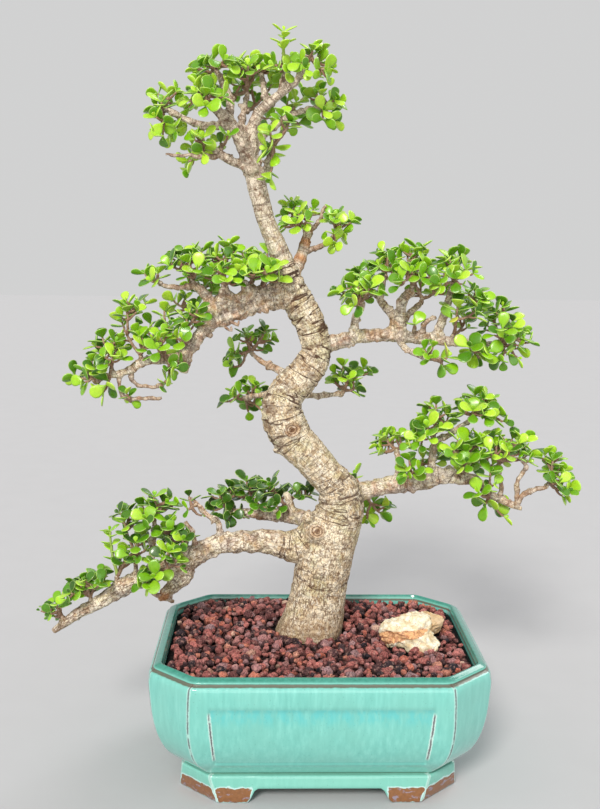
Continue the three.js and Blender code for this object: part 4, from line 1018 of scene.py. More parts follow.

# %% [markdown]
# ## Leaf and twig finish
#
# Leaves are a bright yellow-green, painted brighter on the tiers that stand in the light,
# with a paler rim that is partly their own margin and partly a painted highlight; the
# older ones below are darker, and a few have gone yellow. Their skin is waxy: a sharp but
# faint reflection over a soft one, and a little light passes through the flesh.

# %% Leaf finish
def leaf_finish():
    make = Finish("leaf")
    tone = make.ramp(make.named("tone"), (0.0, (54, 96, 10)), (0.2, (86, 142, 12)),
                     (0.45, (121, 179, 16)), (0.7, (154, 207, 30)),
                     (0.95, (190, 231, 60)), (0.998, (214, 212, 78)))
    colour = make.mix(make.times(make.named("age"), 0.75), tone, (62, 120, 32))
    mottle = make.ramp(make.noise(3.2, 4), (0.3, 0.8), (0.7, 1.0))
    colour = make.mix(0.8, colour, mottle, "MULTIPLY")
    base = make.between(make.named("reach"), 0.34, 0.0, 0, 0.5)
    colour = make.mix(base, colour, (170, 204, 92))
    # partly painted highlight: the paler rim is the leaf's own margin and a painted highlight
    # along its edge
    rim = make.between(make.named("margin"), 0.4, 1.0, 0, 0.75)
    colour = make.mix(rim, colour, (212, 240, 138))
    relief = make.bump(make.noise(0.9, 3), 0.15, 0.35)
    rough = make.ramp(make.noise(2.0, 3), (0.3, 0.24), (0.7, 0.40))
    return make.finish(colour, rough, relief, Subsurface_Weight=0.10, Subsurface_Scale=1.5 * MM,
                       Coat_Weight=0.2, Coat_Roughness=0.16)


LEAF = leaf_finish()
print("leaf network:", len(LEAF.node_tree.nodes), "nodes")

# %% [markdown]
# ## Sprays
#
# A spray is a foot on the wood and the tips of its shoots, each read off where its
# rosette sits. The twigs between them are found by growing: the nearest tip first, each
# from the nearest twig that already stands. Drawing every twig by hand would be truer
# but far slower, and the forks come out in the same places anyway.

# %% Sprays of the low tiers
# A spray: its foot [x, z, depth], then for each shoot the tip [x, z, depth] and, where
# they aren't the usual ones, the leaf length and the pairs of leaves.
USUAL = [15, 2]
SPRAYS = {
    "low_left_tip": [[-250, 129, -15], [-270, 146, -16, 12], [-261, 150, -26, 13],
     [-266, 135, -4, 11], [-257, 152, -6, 13]],
    "low_left_outer": [[-225, 145, -11], [-243, 166, -14], [-250, 158, -28, 13],
     [-231, 172, -22, 14], [-228, 166, 14, 14], [-218, 177, -8], [-206, 181, 4, 14],
     [-212, 170, -26, 13]],
    "low_left_spire": [[-200, 164, -6], [-206, 226, -8, 11, 5], [-194, 198, 14, 14],
     [-190, 196, -20, 14]],
    "low_left_crest": [[-180, 176, -3], [-193, 238, -6, 15, 3], [-186, 246, 10], [-180, 214, -20],
     [-176, 224, 28, 15, 3]],
    "low_left_top": [[-161, 228, 2], [-163, 262, 0, 15, 3], [-149, 256, 8], [-176, 251, 14],
     [-173, 234, -18], [-160, 244, 32, 14]],
    "low_left_inner": [[-140, 198, 2], [-150, 236, -10, 15, 3], [-139, 226, 6],
     [-132, 215, -18, 14], [-124, 207, 8, 13], [-146, 224, 32, 14]],
    "low_left_front": [[-156, 182, -2], [-150, 206, -26], [-136, 195, -26, 14],
     [-164, 172, -30, 16, 3], [-178, 163, -18, 14]],
    "back_left_outer": [[-90, 243, 78], [-99, 262, 66], [-97, 250, 94, 16], [-84, 271, 84, 16, 3],
     [-84, 236, 62, 14]],
    "back_left_middle": [[-62, 241, 71], [-72, 278, 68, 16, 3], [-58, 268, 88], [-76, 262, 104],
     [-60, 252, 52, 14], [-50, 250, 96]],
    "back_left_inner": [[-34, 239, 58], [-50, 276, 62, 16, 3], [-38, 264, 80], [-14, 268, 62, 14],
     [-3, 262, 70, 13], [-43, 248, 42, 14]],
    "low_right_rear_twig": [[78, 303, 31], [62, 322, 44, 14], [73, 318, 58, 14],
     [57, 304, 40, 13], [90, 314, 44, 13]],
    "low_right_rosette": [[115, 310, 18], [105, 332, 0, 18, 3], [94, 314, -6, 14],
     [115, 357, 22, 15, 3], [130, 342, 36], [102, 342, 38, 14]],
    "low_right_peak": [[148, 336, 14], [153, 366, 14], [164, 360, 26], [141, 347, 34],
     [150, 346, -8], [168, 347, 0, 16], [181, 342, 12]],
    "low_right_heart": [[140, 278, 14], [146, 317, -2, 17, 3], [130, 306, -10], [162, 322, 6],
     [147, 292, -16], [142, 308, 48, 15, 3], [160, 300, 46, 15, 3], [178, 290, 40],
     [150, 284, 40, 14]],
    "low_right_twig": [[177, 288, 6], [171, 324, 14, 14], [186, 308, 26], [194, 322, 4, 14],
     [166, 306, -12], [207, 315, -4], [191, 307, -14, 14], [212, 302, 14, 14]],
    "low_right_tip": [[226, 269, -2], [233, 301, -4, 14, 3], [222, 306, 10, 14], [244, 273, -12],
     [252, 264, 4], [240, 286, 16, 14]],
    "low_right_hanging": [[170, 262, 9], [165, 245, -2, 17], [157, 264, -12, 16],
     [171, 288, -10, 16], [182, 246, 18, 14]],
    "low_right_front": [[100, 272, 21], [98, 284, -6, 15, 3], [104, 298, 52], [122, 302, 58],
     [84, 288, 0, 13]],
    "low_right_behind": [[48, 264, 30], [57, 250, 58], [67, 240, 62, 14], [47, 236, 58, 14],
     [34, 284, 50, 13]],
}
print(len(SPRAYS), "sprays in the low tiers")

# %% [markdown]
# The upper tiers. The left one hangs over the bend of the trunk and ends in thin twigs
# below its limb; the right one is a round cushion.

# %% Sprays of the upper tiers
SPRAYS.update({
    "up_right_inner": [[41, 448, 8], [29, 444, -4, 14], [36, 463, -2], [50, 468, -8, 16]],
    "up_right_left": [[57, 454, 23], [15, 459, 34, 16, 3], [28, 471, 34], [36, 482, 50, 14],
     [34, 456, 58, 14], [44, 478, 14, 16]],
    "up_right_crest": [[60, 474, 24], [52, 489, 26], [66, 499, 32], [72, 486, 6, 16],
     [60, 486, 50, 14]],
    "up_right_top": [[88, 461, 16], [82, 500, 20, 16, 3], [97, 506, 12, 16], [86, 482, -10, 16],
     [105, 490, 0, 16], [74, 470, -12]],
    "up_right_rear": [[97, 449, 40], [84, 488, 56], [101, 498, 50], [112, 484, 66],
     [96, 464, 74, 14], [118, 466, 52]],
    "up_right_peak": [[127, 465, 4], [122, 500, 6, 16], [135, 496, 18], [144, 486, -2],
     [110, 474, -18, 16], [132, 474, -20, 16]],
    "up_right_shoulder": [[126, 413, 10], [133, 452, -6, 17], [150, 466, 8, 15, 3],
     [158, 449, -4, 17], [141, 436, 44], [156, 456, 36, 14]],
    "up_right_outer": [[171, 411, 4], [176, 452, 8, 15, 3], [190, 438, -2], [177, 428, -16],
     [168, 438, 30, 14], [196, 424, 20, 14], [200, 418, -6, 14], [197, 404, 6, 14],
     [186, 396, -6, 14]],
    "up_right_low": [[148, 411, 7], [144, 408, -14, 17], [151, 396, 6], [167, 403, -12, 16],
     [160, 398, 26, 14]],
    "up_right_hanging": [[116, 396, -8], [129, 400, -16, 14], [122, 384, -8], [99, 401, -18, 13]],
    "up_left_tip": [[-214, 373, -18], [-232, 367, -22, 14], [-227, 384, -12, 14],
     [-240, 378, -4, 14], [-216, 388, -30, 14]],
    "up_left_outer": [[-198, 378, -17], [-212, 419, -14], [-200, 400, -26], [-216, 402, 0, 14],
     [-196, 412, -2], [-208, 361, -26, 18]],
    "up_left_tall": [[-172, 390, -13], [-186, 450, 0, 14, 3], [-172, 452, 10, 14],
     [-192, 432, 14, 14], [-168, 410, -24], [-176, 420, -18, 14]],
    "up_left_middle": [[-152, 394, -8], [-155, 420, -16], [-158, 404, -30], [-142, 430, -14],
     [-150, 444, 6, 14], [-164, 430, 20, 14], [-144, 374, -14, 13], [-138, 381, -22, 13]],
    "up_left_fork": [[-124, 404, -1], [-129, 438, -8, 14], [-135, 414, -26], [-140, 404, 24, 14],
     [-116, 446, -18, 14]],
    "up_left_twig": [[-152, 465, -2], [-166, 468, -8, 13], [-155, 481, 0, 14],
     [-171, 477, 10, 13]],
    "up_left_crest": [[-121, 465, 0], [-126, 498, 2], [-138, 492, 14, 14], [-148, 488, -6, 14],
     [-117, 482, -20], [-110, 500, 12]],
    "up_left_rear": [[-99, 432, 6], [-112, 472, 46, 15, 3], [-130, 464, 54], [-94, 482, 54],
     [-122, 444, 50, 14], [-145, 452, 42, 14]],
    "up_left_top": [[-93, 460, 0], [-88, 509, 8, 15, 3], [-101, 498, 22], [-92, 485, -12],
     [-106, 484, -8, 14], [-82, 474, -18, 14]],
    "up_left_inner": [[-71, 446, 14], [-77, 500, 24, 15, 3], [-74, 487, -4], [-62, 490, 10],
     [-60, 476, -12], [-66, 474, 42, 14]],
    "up_left_collar": [[-59, 449, 16], [-50, 502, 24, 17, 3], [-44, 486, -8, 17], [-62, 490, 42],
     [-54, 478, -14]],
})
print(len(SPRAYS), "sprays with the upper tiers")

# %% [markdown]
# The head of the tree, with the tufts on the shoulder and behind the trunk. A few tufts
# are too slight for a form of their own in the measured model, so each names the spray
# it belongs to. The listing ends with what sets some sprays apart: shoots that bolted
# upward have their pairs of leaves wide apart, and the looser sprays branch less.

# %% Sprays of the crown and the shoulder
SPRAYS.update({
    "shoulder_left": [[-13, 514, 32], [-24, 538, 26, 14], [-37, 530, 38, 14], [-30, 544, 46, 14],
     [-6, 540, 48, 13], [-26, 524, 14, 14]],
    "shoulder_right": [[18, 520, 32], [8, 534, 24, 14], [23, 512, 38, 14], [19, 530, 46, 14],
     [12, 502, 22, 14]],
    "behind_upper": [[-64, 398, 65], [-88, 401, 62], [-74, 424, 68, 14], [-84, 382, 78],
     [-58, 412, 84], [-50, 426, 66, 14]],
    "behind_lower": [[-73, 356, 63], [-88, 358, 60, 14], [-70, 350, 84, 14], [-58, 366, 82],
     [-52, 348, 68, 13]],
    "behind_right": [[22, 361, 60], [40, 366, 64, 14], [32, 385, 60], [46, 388, 74, 14],
     [22, 392, 76, 14], [16, 374, 82, 14]],
    "crown_left_low": [[-105, 596, 0], [-113, 584, -6], [-130, 577, 4, 14], [-112, 606, -14],
     [-124, 596, 24, 14]],
    "crown_left_tip": [[-144, 627, -12], [-152, 640, -14, 15, 3], [-160, 630, -4, 14],
     [-149, 611, -18], [-136, 604, -8], [-142, 645, 8, 14]],
    "crown_left": [[-105, 632, -2], [-111, 628, -26, 16], [-122, 646, -14, 15, 3],
     [-103, 644, -22, 16], [-128, 634, 18], [-116, 652, 10]],
    "crown_left_top": [[-98, 661, 9], [-115, 668, 4], [-104, 678, 12, 16], [-90, 674, -6],
     [-108, 662, 32]],
    "crown_middle": [[-71, 640, 29], [-84, 675, 24], [-70, 660, 42], [-80, 652, 56],
     [-92, 644, 46], [-62, 672, 30], [-50, 672, 20, 14], [-70, 672, 6, 14]],
    "crown_peak": [[-34, 671, 7], [-37, 703, -14, 12.5, 4], [-24, 668, 16, 13],
     [-50, 669, -2, 13], [-42, 662, 22, 13], [-30, 663, -10, 13]],
    "crown_right": [[-16, 676, 5], [-12, 688, 2, 14], [1, 670, 14, 14], [-24, 670, -14, 14],
     [5, 663, -8, 14]],
    "crown_right_tip": [[-7, 631, 32], [1, 627, 18, 16], [12, 641, 30], [12, 624, 44],
     [-8, 648, 40]],
    "crown_front": [[-46, 597, -6], [-28, 622, -20, 14], [-40, 628, -24, 14], [-50, 612, -26, 14],
     [-57, 590, -14, 16], [-44, 583, -10], [-50, 562, -10, 14]],
})

# A tuft: the spray it belongs to, its foot, then its shoots.
TUFTS = {
    "low_left_bare": ["low_left_inner", [-119, 250, 9], [-128, 262, 9, 11], [-131, 243, 2, 10, 1],
     [-112, 236, 12, 10, 1]],
    "up_left_hanging": ["up_left_middle", [-157, 367, -10], [-145, 376, -14, 12],
     [-149, 365, -18, 12, 1]],
    "up_left_lowest": ["up_left_outer", [-187, 357, -22], [-189, 363, -28, 11],
     [-182, 349, -20, 10, 1]],
    "up_right_under": ["up_right_inner", [91, 421, 14], [92, 431, 4, 15, 1]],
    "crown_inside": ["crown_middle", [-71, 626, 22], [-67, 654, 50, 14], [-62, 639, 54, 13],
     [-45, 655, 42, 14], [-76, 648, 58, 14], [-54, 651, 60, 13], [-47, 619, 52, 13]],
    "crown_inside_right": ["crown_right_tip", [-38, 619, 27], [-25, 621, 50, 13],
     [-13, 646, 56, 14], [-14, 616, 48, 14], [-32, 608, 42, 12, 1], [-34, 639, 48, 14],
     [-22, 640, 34, 14]],
    "crown_inside_top": ["crown_peak", [-57, 664, 25], [-42, 665, 38, 14], [-62, 672, 36, 14]],
    "crown_inside_left": ["crown_left_low", [-96, 589, 4], [-96, 600, 26, 13],
     [-88, 606, -18, 12, 1]],
}
LADDERS = {"crown_peak": 5.6, "low_left_spire": 7.4}  # pair spacing where a shoot bolted
SIDES_ON = dict.fromkeys(["up_left_middle", "low_left_spire", "low_left_tip", "up_left_tip",
                          "up_left_twig", "low_right_hanging", "up_right_low",
                          "low_right_behind"], 1)  # side shoots of the looser sprays
SIDES_ON.update(crown_front=0, crown_peak=0)
SIDE_SHOOTS = 3
DEPTH_SPREAD = 1.3  # how much wider the foliage spreads front to back than listed
print(len(SPRAYS), "sprays,", sum(len(spray) - 1 for spray in SPRAYS.values()), "shoots")

# %% [markdown]
# Now the rule itself. A twig leaves its source, bends into the way its rosette grows, and
# carries a ring at each old leaf scar. Leaves of tiers in full light are painted brighter
# and those behind the trunk painted darker: painted light and the plant's own shade.

# %% Twigs between the foot and the tips
KNOB_CLEAR = 3.6  # the first fork stands this far out of the bark
TWIG_STEP = 2.1
TWIG_SIDES = 6
# painted light and shade: how much each tier's leaf tone is raised in light or lowered in shade
LIT = {"crown": 0.22, "shoul": 0.2, "back_": -0.6, "behin": -0.1, "low_l": -0.12}
LIT_REST = 0.07
FOOT_PULL = 0.55  # how much a twig prefers to fork near the foot


def bent(start, middle, end):
    """Points on a quadratic curve from the start to the end."""
    length = norm(middle - start) + norm(end - middle)
    count = max(4, int(length / TWIG_STEP))
    share = np.linspace(0, 1, count + 1)[:, None]
    return (1 - share) ** 2 * start + 2 * share * (1 - share) * middle + share ** 2 * end


def wood_radius_at(point):
    apart = norm(samples[:, :3] - point, axis=1)
    return samples[apart.argmin(), 3]


def in_the_wood(point, margin=0.0):
    apart = norm(samples[:, :3] - point, axis=1)
    return bool((apart < samples[:, 3] + margin).any())


def twig_tube(path, foot_radius, tip_radius, seed):
    """A thin tube with the rings that fallen leaves leave on a jade twig."""
    share = np.linspace(0, 1, len(path))
    radii = foot_radius + (tip_radius - foot_radius) * share ** 0.8
    way = run_along(path)
    nodes = np.exp(-((way / 4.6 + draw(seed, 1, 2, 3)) % 1 - 0.5) ** 2 / 0.02)
    radii = radii * (0.92 + 0.26 * nodes)
    shaken = path.copy()
    for axis in range(3):
        wave = [draw(seed, index, axis, 4) - 0.5 for index in range(len(path))]
        shaken[1:-1, axis] += 0.7 * np.array(wave)[1:-1]
    points, faces = tube(shaken, radii, TWIG_SIDES)
    return points, faces, tube_grain(shaken, radii, TWIG_SIDES)


def grow_spray(number, name, foot, shoots):
    """Twigs (points, faces, youth) and leaves of one spray."""
    start = placed(*foot)
    shoots = [[*shoot, *USUAL[len(shoot) - 3:]] for shoot in shoots]
    tips = [placed(x, z, foot[2] + DEPTH_SPREAD * (depth - foot[2]))
            for x, z, depth, _, _ in shoots]
    towards = unit(sum(unit(tip - start) for tip in tips))
    fork = start + towards * (wood_radius_at(start) + KNOB_CLEAR)
    nodes = [(fork, 0.0)]
    twigs = [(twig_tube(bent(start, (start + fork) / 2, fork), 2.6, 2.1, number), 0.2)]
    leaves = []
    for shoot in sorted(range(len(tips)), key=lambda index: norm(tips[index] - fork)):
        length, pairs = shoots[shoot][3:]
        middle = tips[shoot]
        source, run = min(nodes, key=lambda node: norm(middle - node[0]) + FOOT_PULL * node[1])
        ladder = LADDERS.get(name, 0.0) if shoot == 0 else 0.0
        if ladder:
            source, run = fork, 0.0
        back = source - middle
        top = middle + unit(back) * min(0.4 * length, 0.6 * norm(back))
        growth = unit(unit(top - fork) + np.array([0, 0, 9.0 if ladder else UPWARD]))
        reach = norm(top - source)
        path = bent(source, top - growth * 0.45 * reach, top)
        youth = 1.8 if ladder else 0.75
        twigs.append((twig_tube(path, 2.0 if run < 1 else 1.5, 1.0, 100 * number + shoot), youth))
        gone = run_along(path)
        nodes += [(path[index], run + gone[index]) for index in range(2, len(path) - 3, 2)]
        turn = draw(number, shoot, 0, 1) * math.pi
        grown = leaves_on(path, growth, turn, pairs, length, number, shoot, ladder)
        for leaf in grown if ladder else []:
            leaf["tone"], leaf["age"] = 0.7 + 0.25 * leaf["tone"], 0.0
        leaves += grown
        sides = 0 if ladder or name in TUFTS else SIDES_ON.get(name, SIDE_SHOOTS)
        twigs_more, leaves_more = side_shoots(sides, path, growth, length, number, shoot)
        twigs += twigs_more
        leaves += leaves_more
    return twigs, leaves


def side_shoots(count, path, growth, length, number, shoot):
    """Short shoots that break from the sides of a twig and fill the pad."""
    twigs, leaves = [], []
    for index in range(count):
        seed = shoot + 20 * (index + 1)
        at = path[int(len(path) * (0.35 + 0.4 * draw(number, seed, 1, 1)))]
        level = unit(np.cross([1.0, 0.0, 0.0], growth))
        out = turned(level, growth, draw(number, seed, 1, 2) * 2 * math.pi)
        way = unit(out + growth * 0.5)
        end = at + way * (7 + 6 * draw(number, seed, 1, 3))
        if norm(path[-1] - path[0]) < 9 or in_the_wood(end, 4):
            continue
        rise = unit(way + np.array([0, 0, UPWARD]))
        twig = bent(at, end - rise * 3, end)
        twigs.append((twig_tube(twig, 1.3, 0.9, 1000 * number + seed), 0.9))
        leaves += leaves_on(twig, rise, draw(number, seed, 1, 4) * math.pi, 1, 0.82 * length,
                            number, seed)
    return twigs, leaves


print("growth rules ready")

# %% [markdown]
# Leaves that would stick in the wood or out of the measured box are dropped, and so is a
# leaf that would stand where another one already is. What is left becomes two pieces for
# each spray: its twigs and its leaves.

# %% Grow every spray
CROWDED = 4.6  # two leaf middles are never nearer than this
box_low, box_high = to_ruler(cad_low), to_ruler(cad_high)
standing = np.empty((0, 3))
leaf_count = 0
twig_triangles = 0
every_spray = [[name, name, spray[0], spray[1:]] for name, spray in SPRAYS.items()]
every_spray += [[name, *tuft[:2], tuft[2:]] for name, tuft in TUFTS.items()]
for number, (name, belongs_to, foot, shoots) in enumerate(every_spray):
    twigs, leaves = grow_spray(number, name, foot, shoots)
    parts, rows = [], []
    # painted light and shade: this tier's leaf tone is raised in full light and lowered in shade
    light = LIT.get(name[:5], LIT_REST)
    for leaf in leaves:
        if leaf["tone"] < 0.996:
            leaf["tone"] = min(max(leaf["tone"] + light, 0.0), 0.95)
        middle = leaf["at"] + leaf["blade"] * 0.6 * leaf["length"]
        points = leaf_mesh_points(leaf)
        if (points < box_low).any() or (points > box_high).any() or in_the_wood(middle, 0.5):
            continue
        if len(standing) and norm(standing - middle, axis=1).min() < CROWDED:
            continue
        standing = np.vstack([standing, middle])
        parts.append((points, LEAF_FACES))
        rows.append({"margin": LEAF_MARGIN, "reach": LEAF_POINTS[:, 0],
                     "tone": np.full(len(points), leaf["tone"]),
                     "age": np.full(len(points), leaf["age"])})
    leaf_count += len(parts)
    points, faces = stacked(parts)
    piece = mesh_piece(f"leaves_{name}", points, faces, LEAF, joined_values(rows))
    declare(piece, "leaf", f"spray_{belongs_to}")
    twig_rows = [plain_bark(points, grain_at, 2.0, youth)
                 for (points, _, grain_at), youth in twigs]
    points, faces = stacked([twig[:2] for twig, _ in twigs])
    twig_triangles += sum(len(face) - 2 for face in faces)
    piece = mesh_piece(f"twigs_{name}", points, faces, BARK, joined_values(twig_rows))
    declare(piece, "bark", f"spray_{belongs_to}")
print(leaf_count, "leaves; triangles of the twigs:", twig_triangles)

# %% [markdown]
# ## Pot
#
# A slab-moulded pot with cut corners: its walls bulge, a recessed panel is pressed into
# each long wall, and a broad lip ends the rim. One could box-model it and bevel every
# edge. We sweep an eight-sided plan up a measured profile instead, with more rows and
# columns where a shape turns, and press the panels into the swept skin.

# %% Profile and plan
FRONT_TO_SIDE = 35  # the half depth is this much less than the half width
CUT_DEEPER = 36 / 38  # corner cut along Y for each millimetre along X
CORNER_ROUND, RIM_ROUND = 2.2, 6.0
WALL = [[14, 113, 22], [20, 118.5, 23], [26, 124.5, 25], [31, 129.5, 26], [44, 140.5, 28.5],
        [60, 148.2, 32], [80, 153, 35], [103, 155.6, 38], [113, 156.2, 39]]
RIM = [[117, 156.1, 39], [120.2, 155.7, 39], [121.4, 154.7, 38.8], [122, 153.4, 38.4],
       [122.5, 152.1, 38], [123.1, 151.5, 38], [123.7, 151.6, 38], [124.2, 152, 38],
       [124.8, 152.1, 38], [125.5, 151.5, 37.8], [126.3, 150.2, 37], [127, 148.7, 36],
       [127.6, 147.2, 35], [127.9, 146.1, 34], [127.9, 145.4, 33.6], [127.3, 144.9, 33.2],
       [126, 144.6, 33], [124, 143.4, 33]]
INSIDE = [[112, 143.4, 33], [80, 141.4, 31], [60, 136.8, 29], [46, 130, 26], [34, 120, 23],
          [24, 104, 20]]


def side_shares(edge, fine_low, fine_high):
    """Where the columns of one wall stand, as shares of its half length."""
    half = np.concatenate([np.linspace(0, fine_low, edge, endpoint=False),
                           np.linspace(fine_low, fine_high, 14, endpoint=False),
                           np.linspace(fine_high, 1, 6)])
    return np.concatenate([-half[:0:-1], half])


LONG_COLUMNS = side_shares(22, 0.80, 0.90)
SHORT_COLUMNS = side_shares(16, 0.71, 0.82)
CUT_COLUMNS = np.linspace(-1, 1, 15)


def plan_loop(half, cut, corner=CORNER_ROUND):
    """Points of the eight-sided plan, anticlockwise, and their distance to an edge."""
    x, y, cut_y = half, half - FRONT_TO_SIDE, cut * CUT_DEEPER
    corners = np.array([[x - cut, -y], [x, -y + cut_y], [x, y - cut_y], [x - cut, y],
                        [-x + cut, y], [-x, y - cut_y], [-x, -y + cut_y], [-x + cut, -y]])
    loop, to_edge = [], []
    kinds = [CUT_COLUMNS, SHORT_COLUMNS, CUT_COLUMNS, LONG_COLUMNS] * 2
    for index, shares in enumerate(kinds):
        start, end = corners[index], corners[(index + 1) % 8]
        length = norm(end - start)
        trim = corner / length
        for share in shares:
            at = 0.5 + 0.5 * share * (1 - 2 * trim)
            loop.append(start + (end - start) * at)
            to_edge.append(min(at, 1 - at) * length)
        after = corners[(index + 2) % 8]
        first = end + (start - end) * trim
        last = end + (after - end) * corner / norm(after - end)
        arc = [(1 - share) ** 2 * first + 2 * share * (1 - share) * end + share ** 2 * last
               for share in (0.25, 0.5, 0.75)]
        loop += arc
        to_edge += [norm(point - arc[1]) for point in arc]
    return np.array(loop), np.array(to_edge)


wall_curve = through(WALL, 0.8)
print("columns round the pot:", len(plan_loop(150, 35)[0]))

# %% [markdown]
# Heights of the rows: close together at the two moulding lines near the foot, at the
# lower and upper edge of the panels and at the rim.

# %% Skin of the pot
PANEL_LOW, PANEL_HIGH = 43, 103
PANEL_LONG, PANEL_SHORT = 95, 60  # half lengths at the lower border
PANEL_DEPTH = 1.8
NO_PANEL = -20.0
GROOVES = [[21.5, 0.9], [27.5, 1.1]]  # height and depth of the moulding lines


def panel_side(x, y, z, half, cut):
    """Distance inside the left and right borders of a panel, negative outside them."""
    rise = (z - PANEL_LOW) / (PANEL_HIGH - PANEL_LOW)
    on_long = np.abs(x) <= half - cut
    on_short = np.abs(y) <= half - FRONT_TO_SIDE - cut * CUT_DEEPER
    across = np.where(on_long, PANEL_LONG + 5 * rise - np.abs(x),
                      PANEL_SHORT + 4 * rise - np.abs(y))
    return np.where(on_long | on_short, across, NO_PANEL)


def smooth_step(value, low, high):
    share = np.clip((value - low) / (high - low), 0, 1)
    return share * share * (3 - 2 * share)


def swept(rows, pressed):
    """A skin through rows [height, half, cut]; panels and lines mark the first rows."""
    points, values = [], {"edge": [], "side": []}
    for number, (height, half, cut) in enumerate(rows):
        loop, to_edge = plan_loop(half, cut, CORNER_ROUND if number < pressed else RIM_ROUND)
        side = panel_side(loop[:, 0], loop[:, 1], height, half, cut)
        if number >= pressed:
            side = np.full(len(loop), NO_PANEL)
        inset = (PANEL_DEPTH * smooth_step(side, -1.0, 1.2) * smooth_step(height, 41.5, 44.5)
                 * smooth_step(height, 105, 97))
        for level, depth in GROOVES:
            if number < pressed:
                inset = inset + depth * math.exp(-((height - level) / 1.0) ** 2)
        on_long = np.abs(loop[:, 0]) <= half - cut
        ways = np.stack([np.where(on_long, 0, np.sign(loop[:, 0])),
                         np.where(on_long, np.sign(loop[:, 1]), 0)], axis=1)
        outward = loop / norm(loop, axis=1)[:, None]
        ways = np.where((side <= NO_PANEL)[:, None], outward, ways)
        loop = loop - ways * inset[:, None]
        points.append(np.column_stack([loop, np.full(len(loop), float(height))]))
        values["edge"].append(to_edge)
        values["side"].append(side)
    return np.array(points), {key: np.concatenate(value) for key, value in values.items()}


def quads(rings, closed_rows=False):
    """Faces between rows of points, with the last row joined to the first if closed."""
    rows, columns = rings.shape[:2]
    faces = []
    for row in range(rows if closed_rows else rows - 1):
        above = (row + 1) % rows
        for column in range(columns):
            after = (column + 1) % columns
            faces.append((row * columns + column, row * columns + after,
                          above * columns + after, above * columns + column))
    return faces


heights = np.concatenate([
    np.linspace(14, 18, 3, endpoint=False), np.linspace(18, 31, 20, endpoint=False),
    np.linspace(31, 41, 4, endpoint=False), np.linspace(41, 46, 7, endpoint=False),
    np.linspace(46, 96, 12, endpoint=False), np.linspace(96, 106, 6, endpoint=False),
    np.linspace(106, 113, 4)])
wall_rows = [[height, np.interp(height, wall_curve[:, 0], wall_curve[:, 1]),
              np.interp(height, wall_curve[:, 0], wall_curve[:, 2])] for height in heights]
inner_rows = through(INSIDE, 4).tolist()
rows = [*wall_rows, *RIM, *inner_rows, [14.5, 104, 20]]
rings, pot_values = swept(rows, len(wall_rows))
inner_from = len(wall_rows) + len(RIM)
wall_part = (rings.reshape(-1, 3), quads(rings, closed_rows=True))
print("wall of the pot:", rings.shape[0], "rows of", rings.shape[1], "points")

# %% [markdown]
# The feet are one band under the wall, cut away between the corners. The cut rises in a
# soft curve, as where a wet clay wall was trimmed with a wire and wiped with a sponge.

# %% Feet, floor and drain holes
DRAIN_X = 68
DRAIN_RADIUS = 12
BASE_UNDERSIDE, FLOOR_TOP = 14, 24
GAP_LONG, GAP_SHORT = 66, 45  # half lengths of the gaps between the feet
FOOT_TOP = 26
NO_PATCH = -5.0


def foot_bottom(x, y, on_front):
    """Height of the underside of the foot band: 0 at the corners, up in the gaps."""
    gap = np.where(on_front, GAP_LONG - np.abs(x), GAP_SHORT - np.abs(y))
    return BASE_UNDERSIDE * smooth_step(gap, 0, 9)


def foot_rings():
    """Rows of the foot band, and how deep each point lies in its bare clay patch."""
    outer = [[0.0, 128.6, 37], [0.03, 129.8, 37], [0.10, 130.4, 36.8], [0.3, 130.0, 34.5],
             [0.5, 129.4, 32], [0.7, 128.9, 30], [0.9, 128.4, 28], [0.97, 128, 27.5],
             [1.0, 127, 27], [1.0, 112, 25]]
    inner = [[0.6, 106, 28], [0.12, 106.4, 28], [0.0, 107.2, 28]]
    rows, patches = [], []
    for number, (share, half, cut) in enumerate(outer + inner):
        loop, to_edge = plan_loop(half, cut)
        on_front = np.abs(loop[:, 1]) >= half - FRONT_TO_SIDE - 0.6
        on_side = np.abs(loop[:, 0]) >= half - 0.6
        low = np.where(on_front | on_side, foot_bottom(loop[:, 0], loop[:, 1], on_front), 0)
        height = low + (FOOT_TOP - low) * share
        rows.append(np.column_stack([loop, height]))
        past_cut = np.where(on_front, np.abs(loop[:, 0]) - GAP_LONG,
                            np.abs(loop[:, 1]) - GAP_SHORT)
        past_cut = np.where(on_front | on_side, past_cut, 20)
        patch = np.minimum(np.minimum(to_edge - 1.6, past_cut + 3.0),
                           np.minimum(height - low - 1.2, 14.5 - height))
        patches.append(patch if number < len(outer) - 1 else patch * 0 + NO_PATCH)
    return np.array(rows), np.concatenate(patches)


def floor_slab():
    """The floor between the walls, with its two round drain holes."""
    loop, _ = plan_loop(107, 21)
    circle = np.arange(24) * 2 * math.pi / 24
    holes = [np.column_stack([x + DRAIN_RADIUS * np.cos(circle), DRAIN_RADIUS * np.sin(circle)])
             for x in (-DRAIN_X, DRAIN_X)]
    flat = np.vstack([loop, *holes])
    edges = []
    first = 0
    for size in (len(loop), 24, 24):
        edges += [(first + index, first + (index + 1) % size) for index in range(size)]
        first += size
    points, _, triangles = delaunay_2d_cdt([Vector(p) for p in flat], edges, [], 0, 1e-4)[:3]
    points = np.array([list(point) for point in points])
    kept = []
    for triangle in triangles:
        middle = points[list(triangle)].mean(axis=0)
        if np.hypot(abs(middle[0]) - DRAIN_X, middle[1]) > DRAIN_RADIUS * 0.98:
            kept.append(tuple(triangle))
    size = len(points)
    solid = np.vstack([np.column_stack([points, np.full(size, float(FLOOR_TOP))]),
                       np.column_stack([points, np.full(size, float(BASE_UNDERSIDE))])])
    faces = kept + [tuple(size + corner for corner in triangle[::-1]) for triangle in kept]
    border = {}
    for triangle in kept:
        for start, end in zip(triangle, triangle[1:] + triangle[:1]):
            border[(start, end)] = True
    for start, end in border:
        if (end, start) not in border:
            faces.append((end, start, size + start, size + end))
    return solid, faces


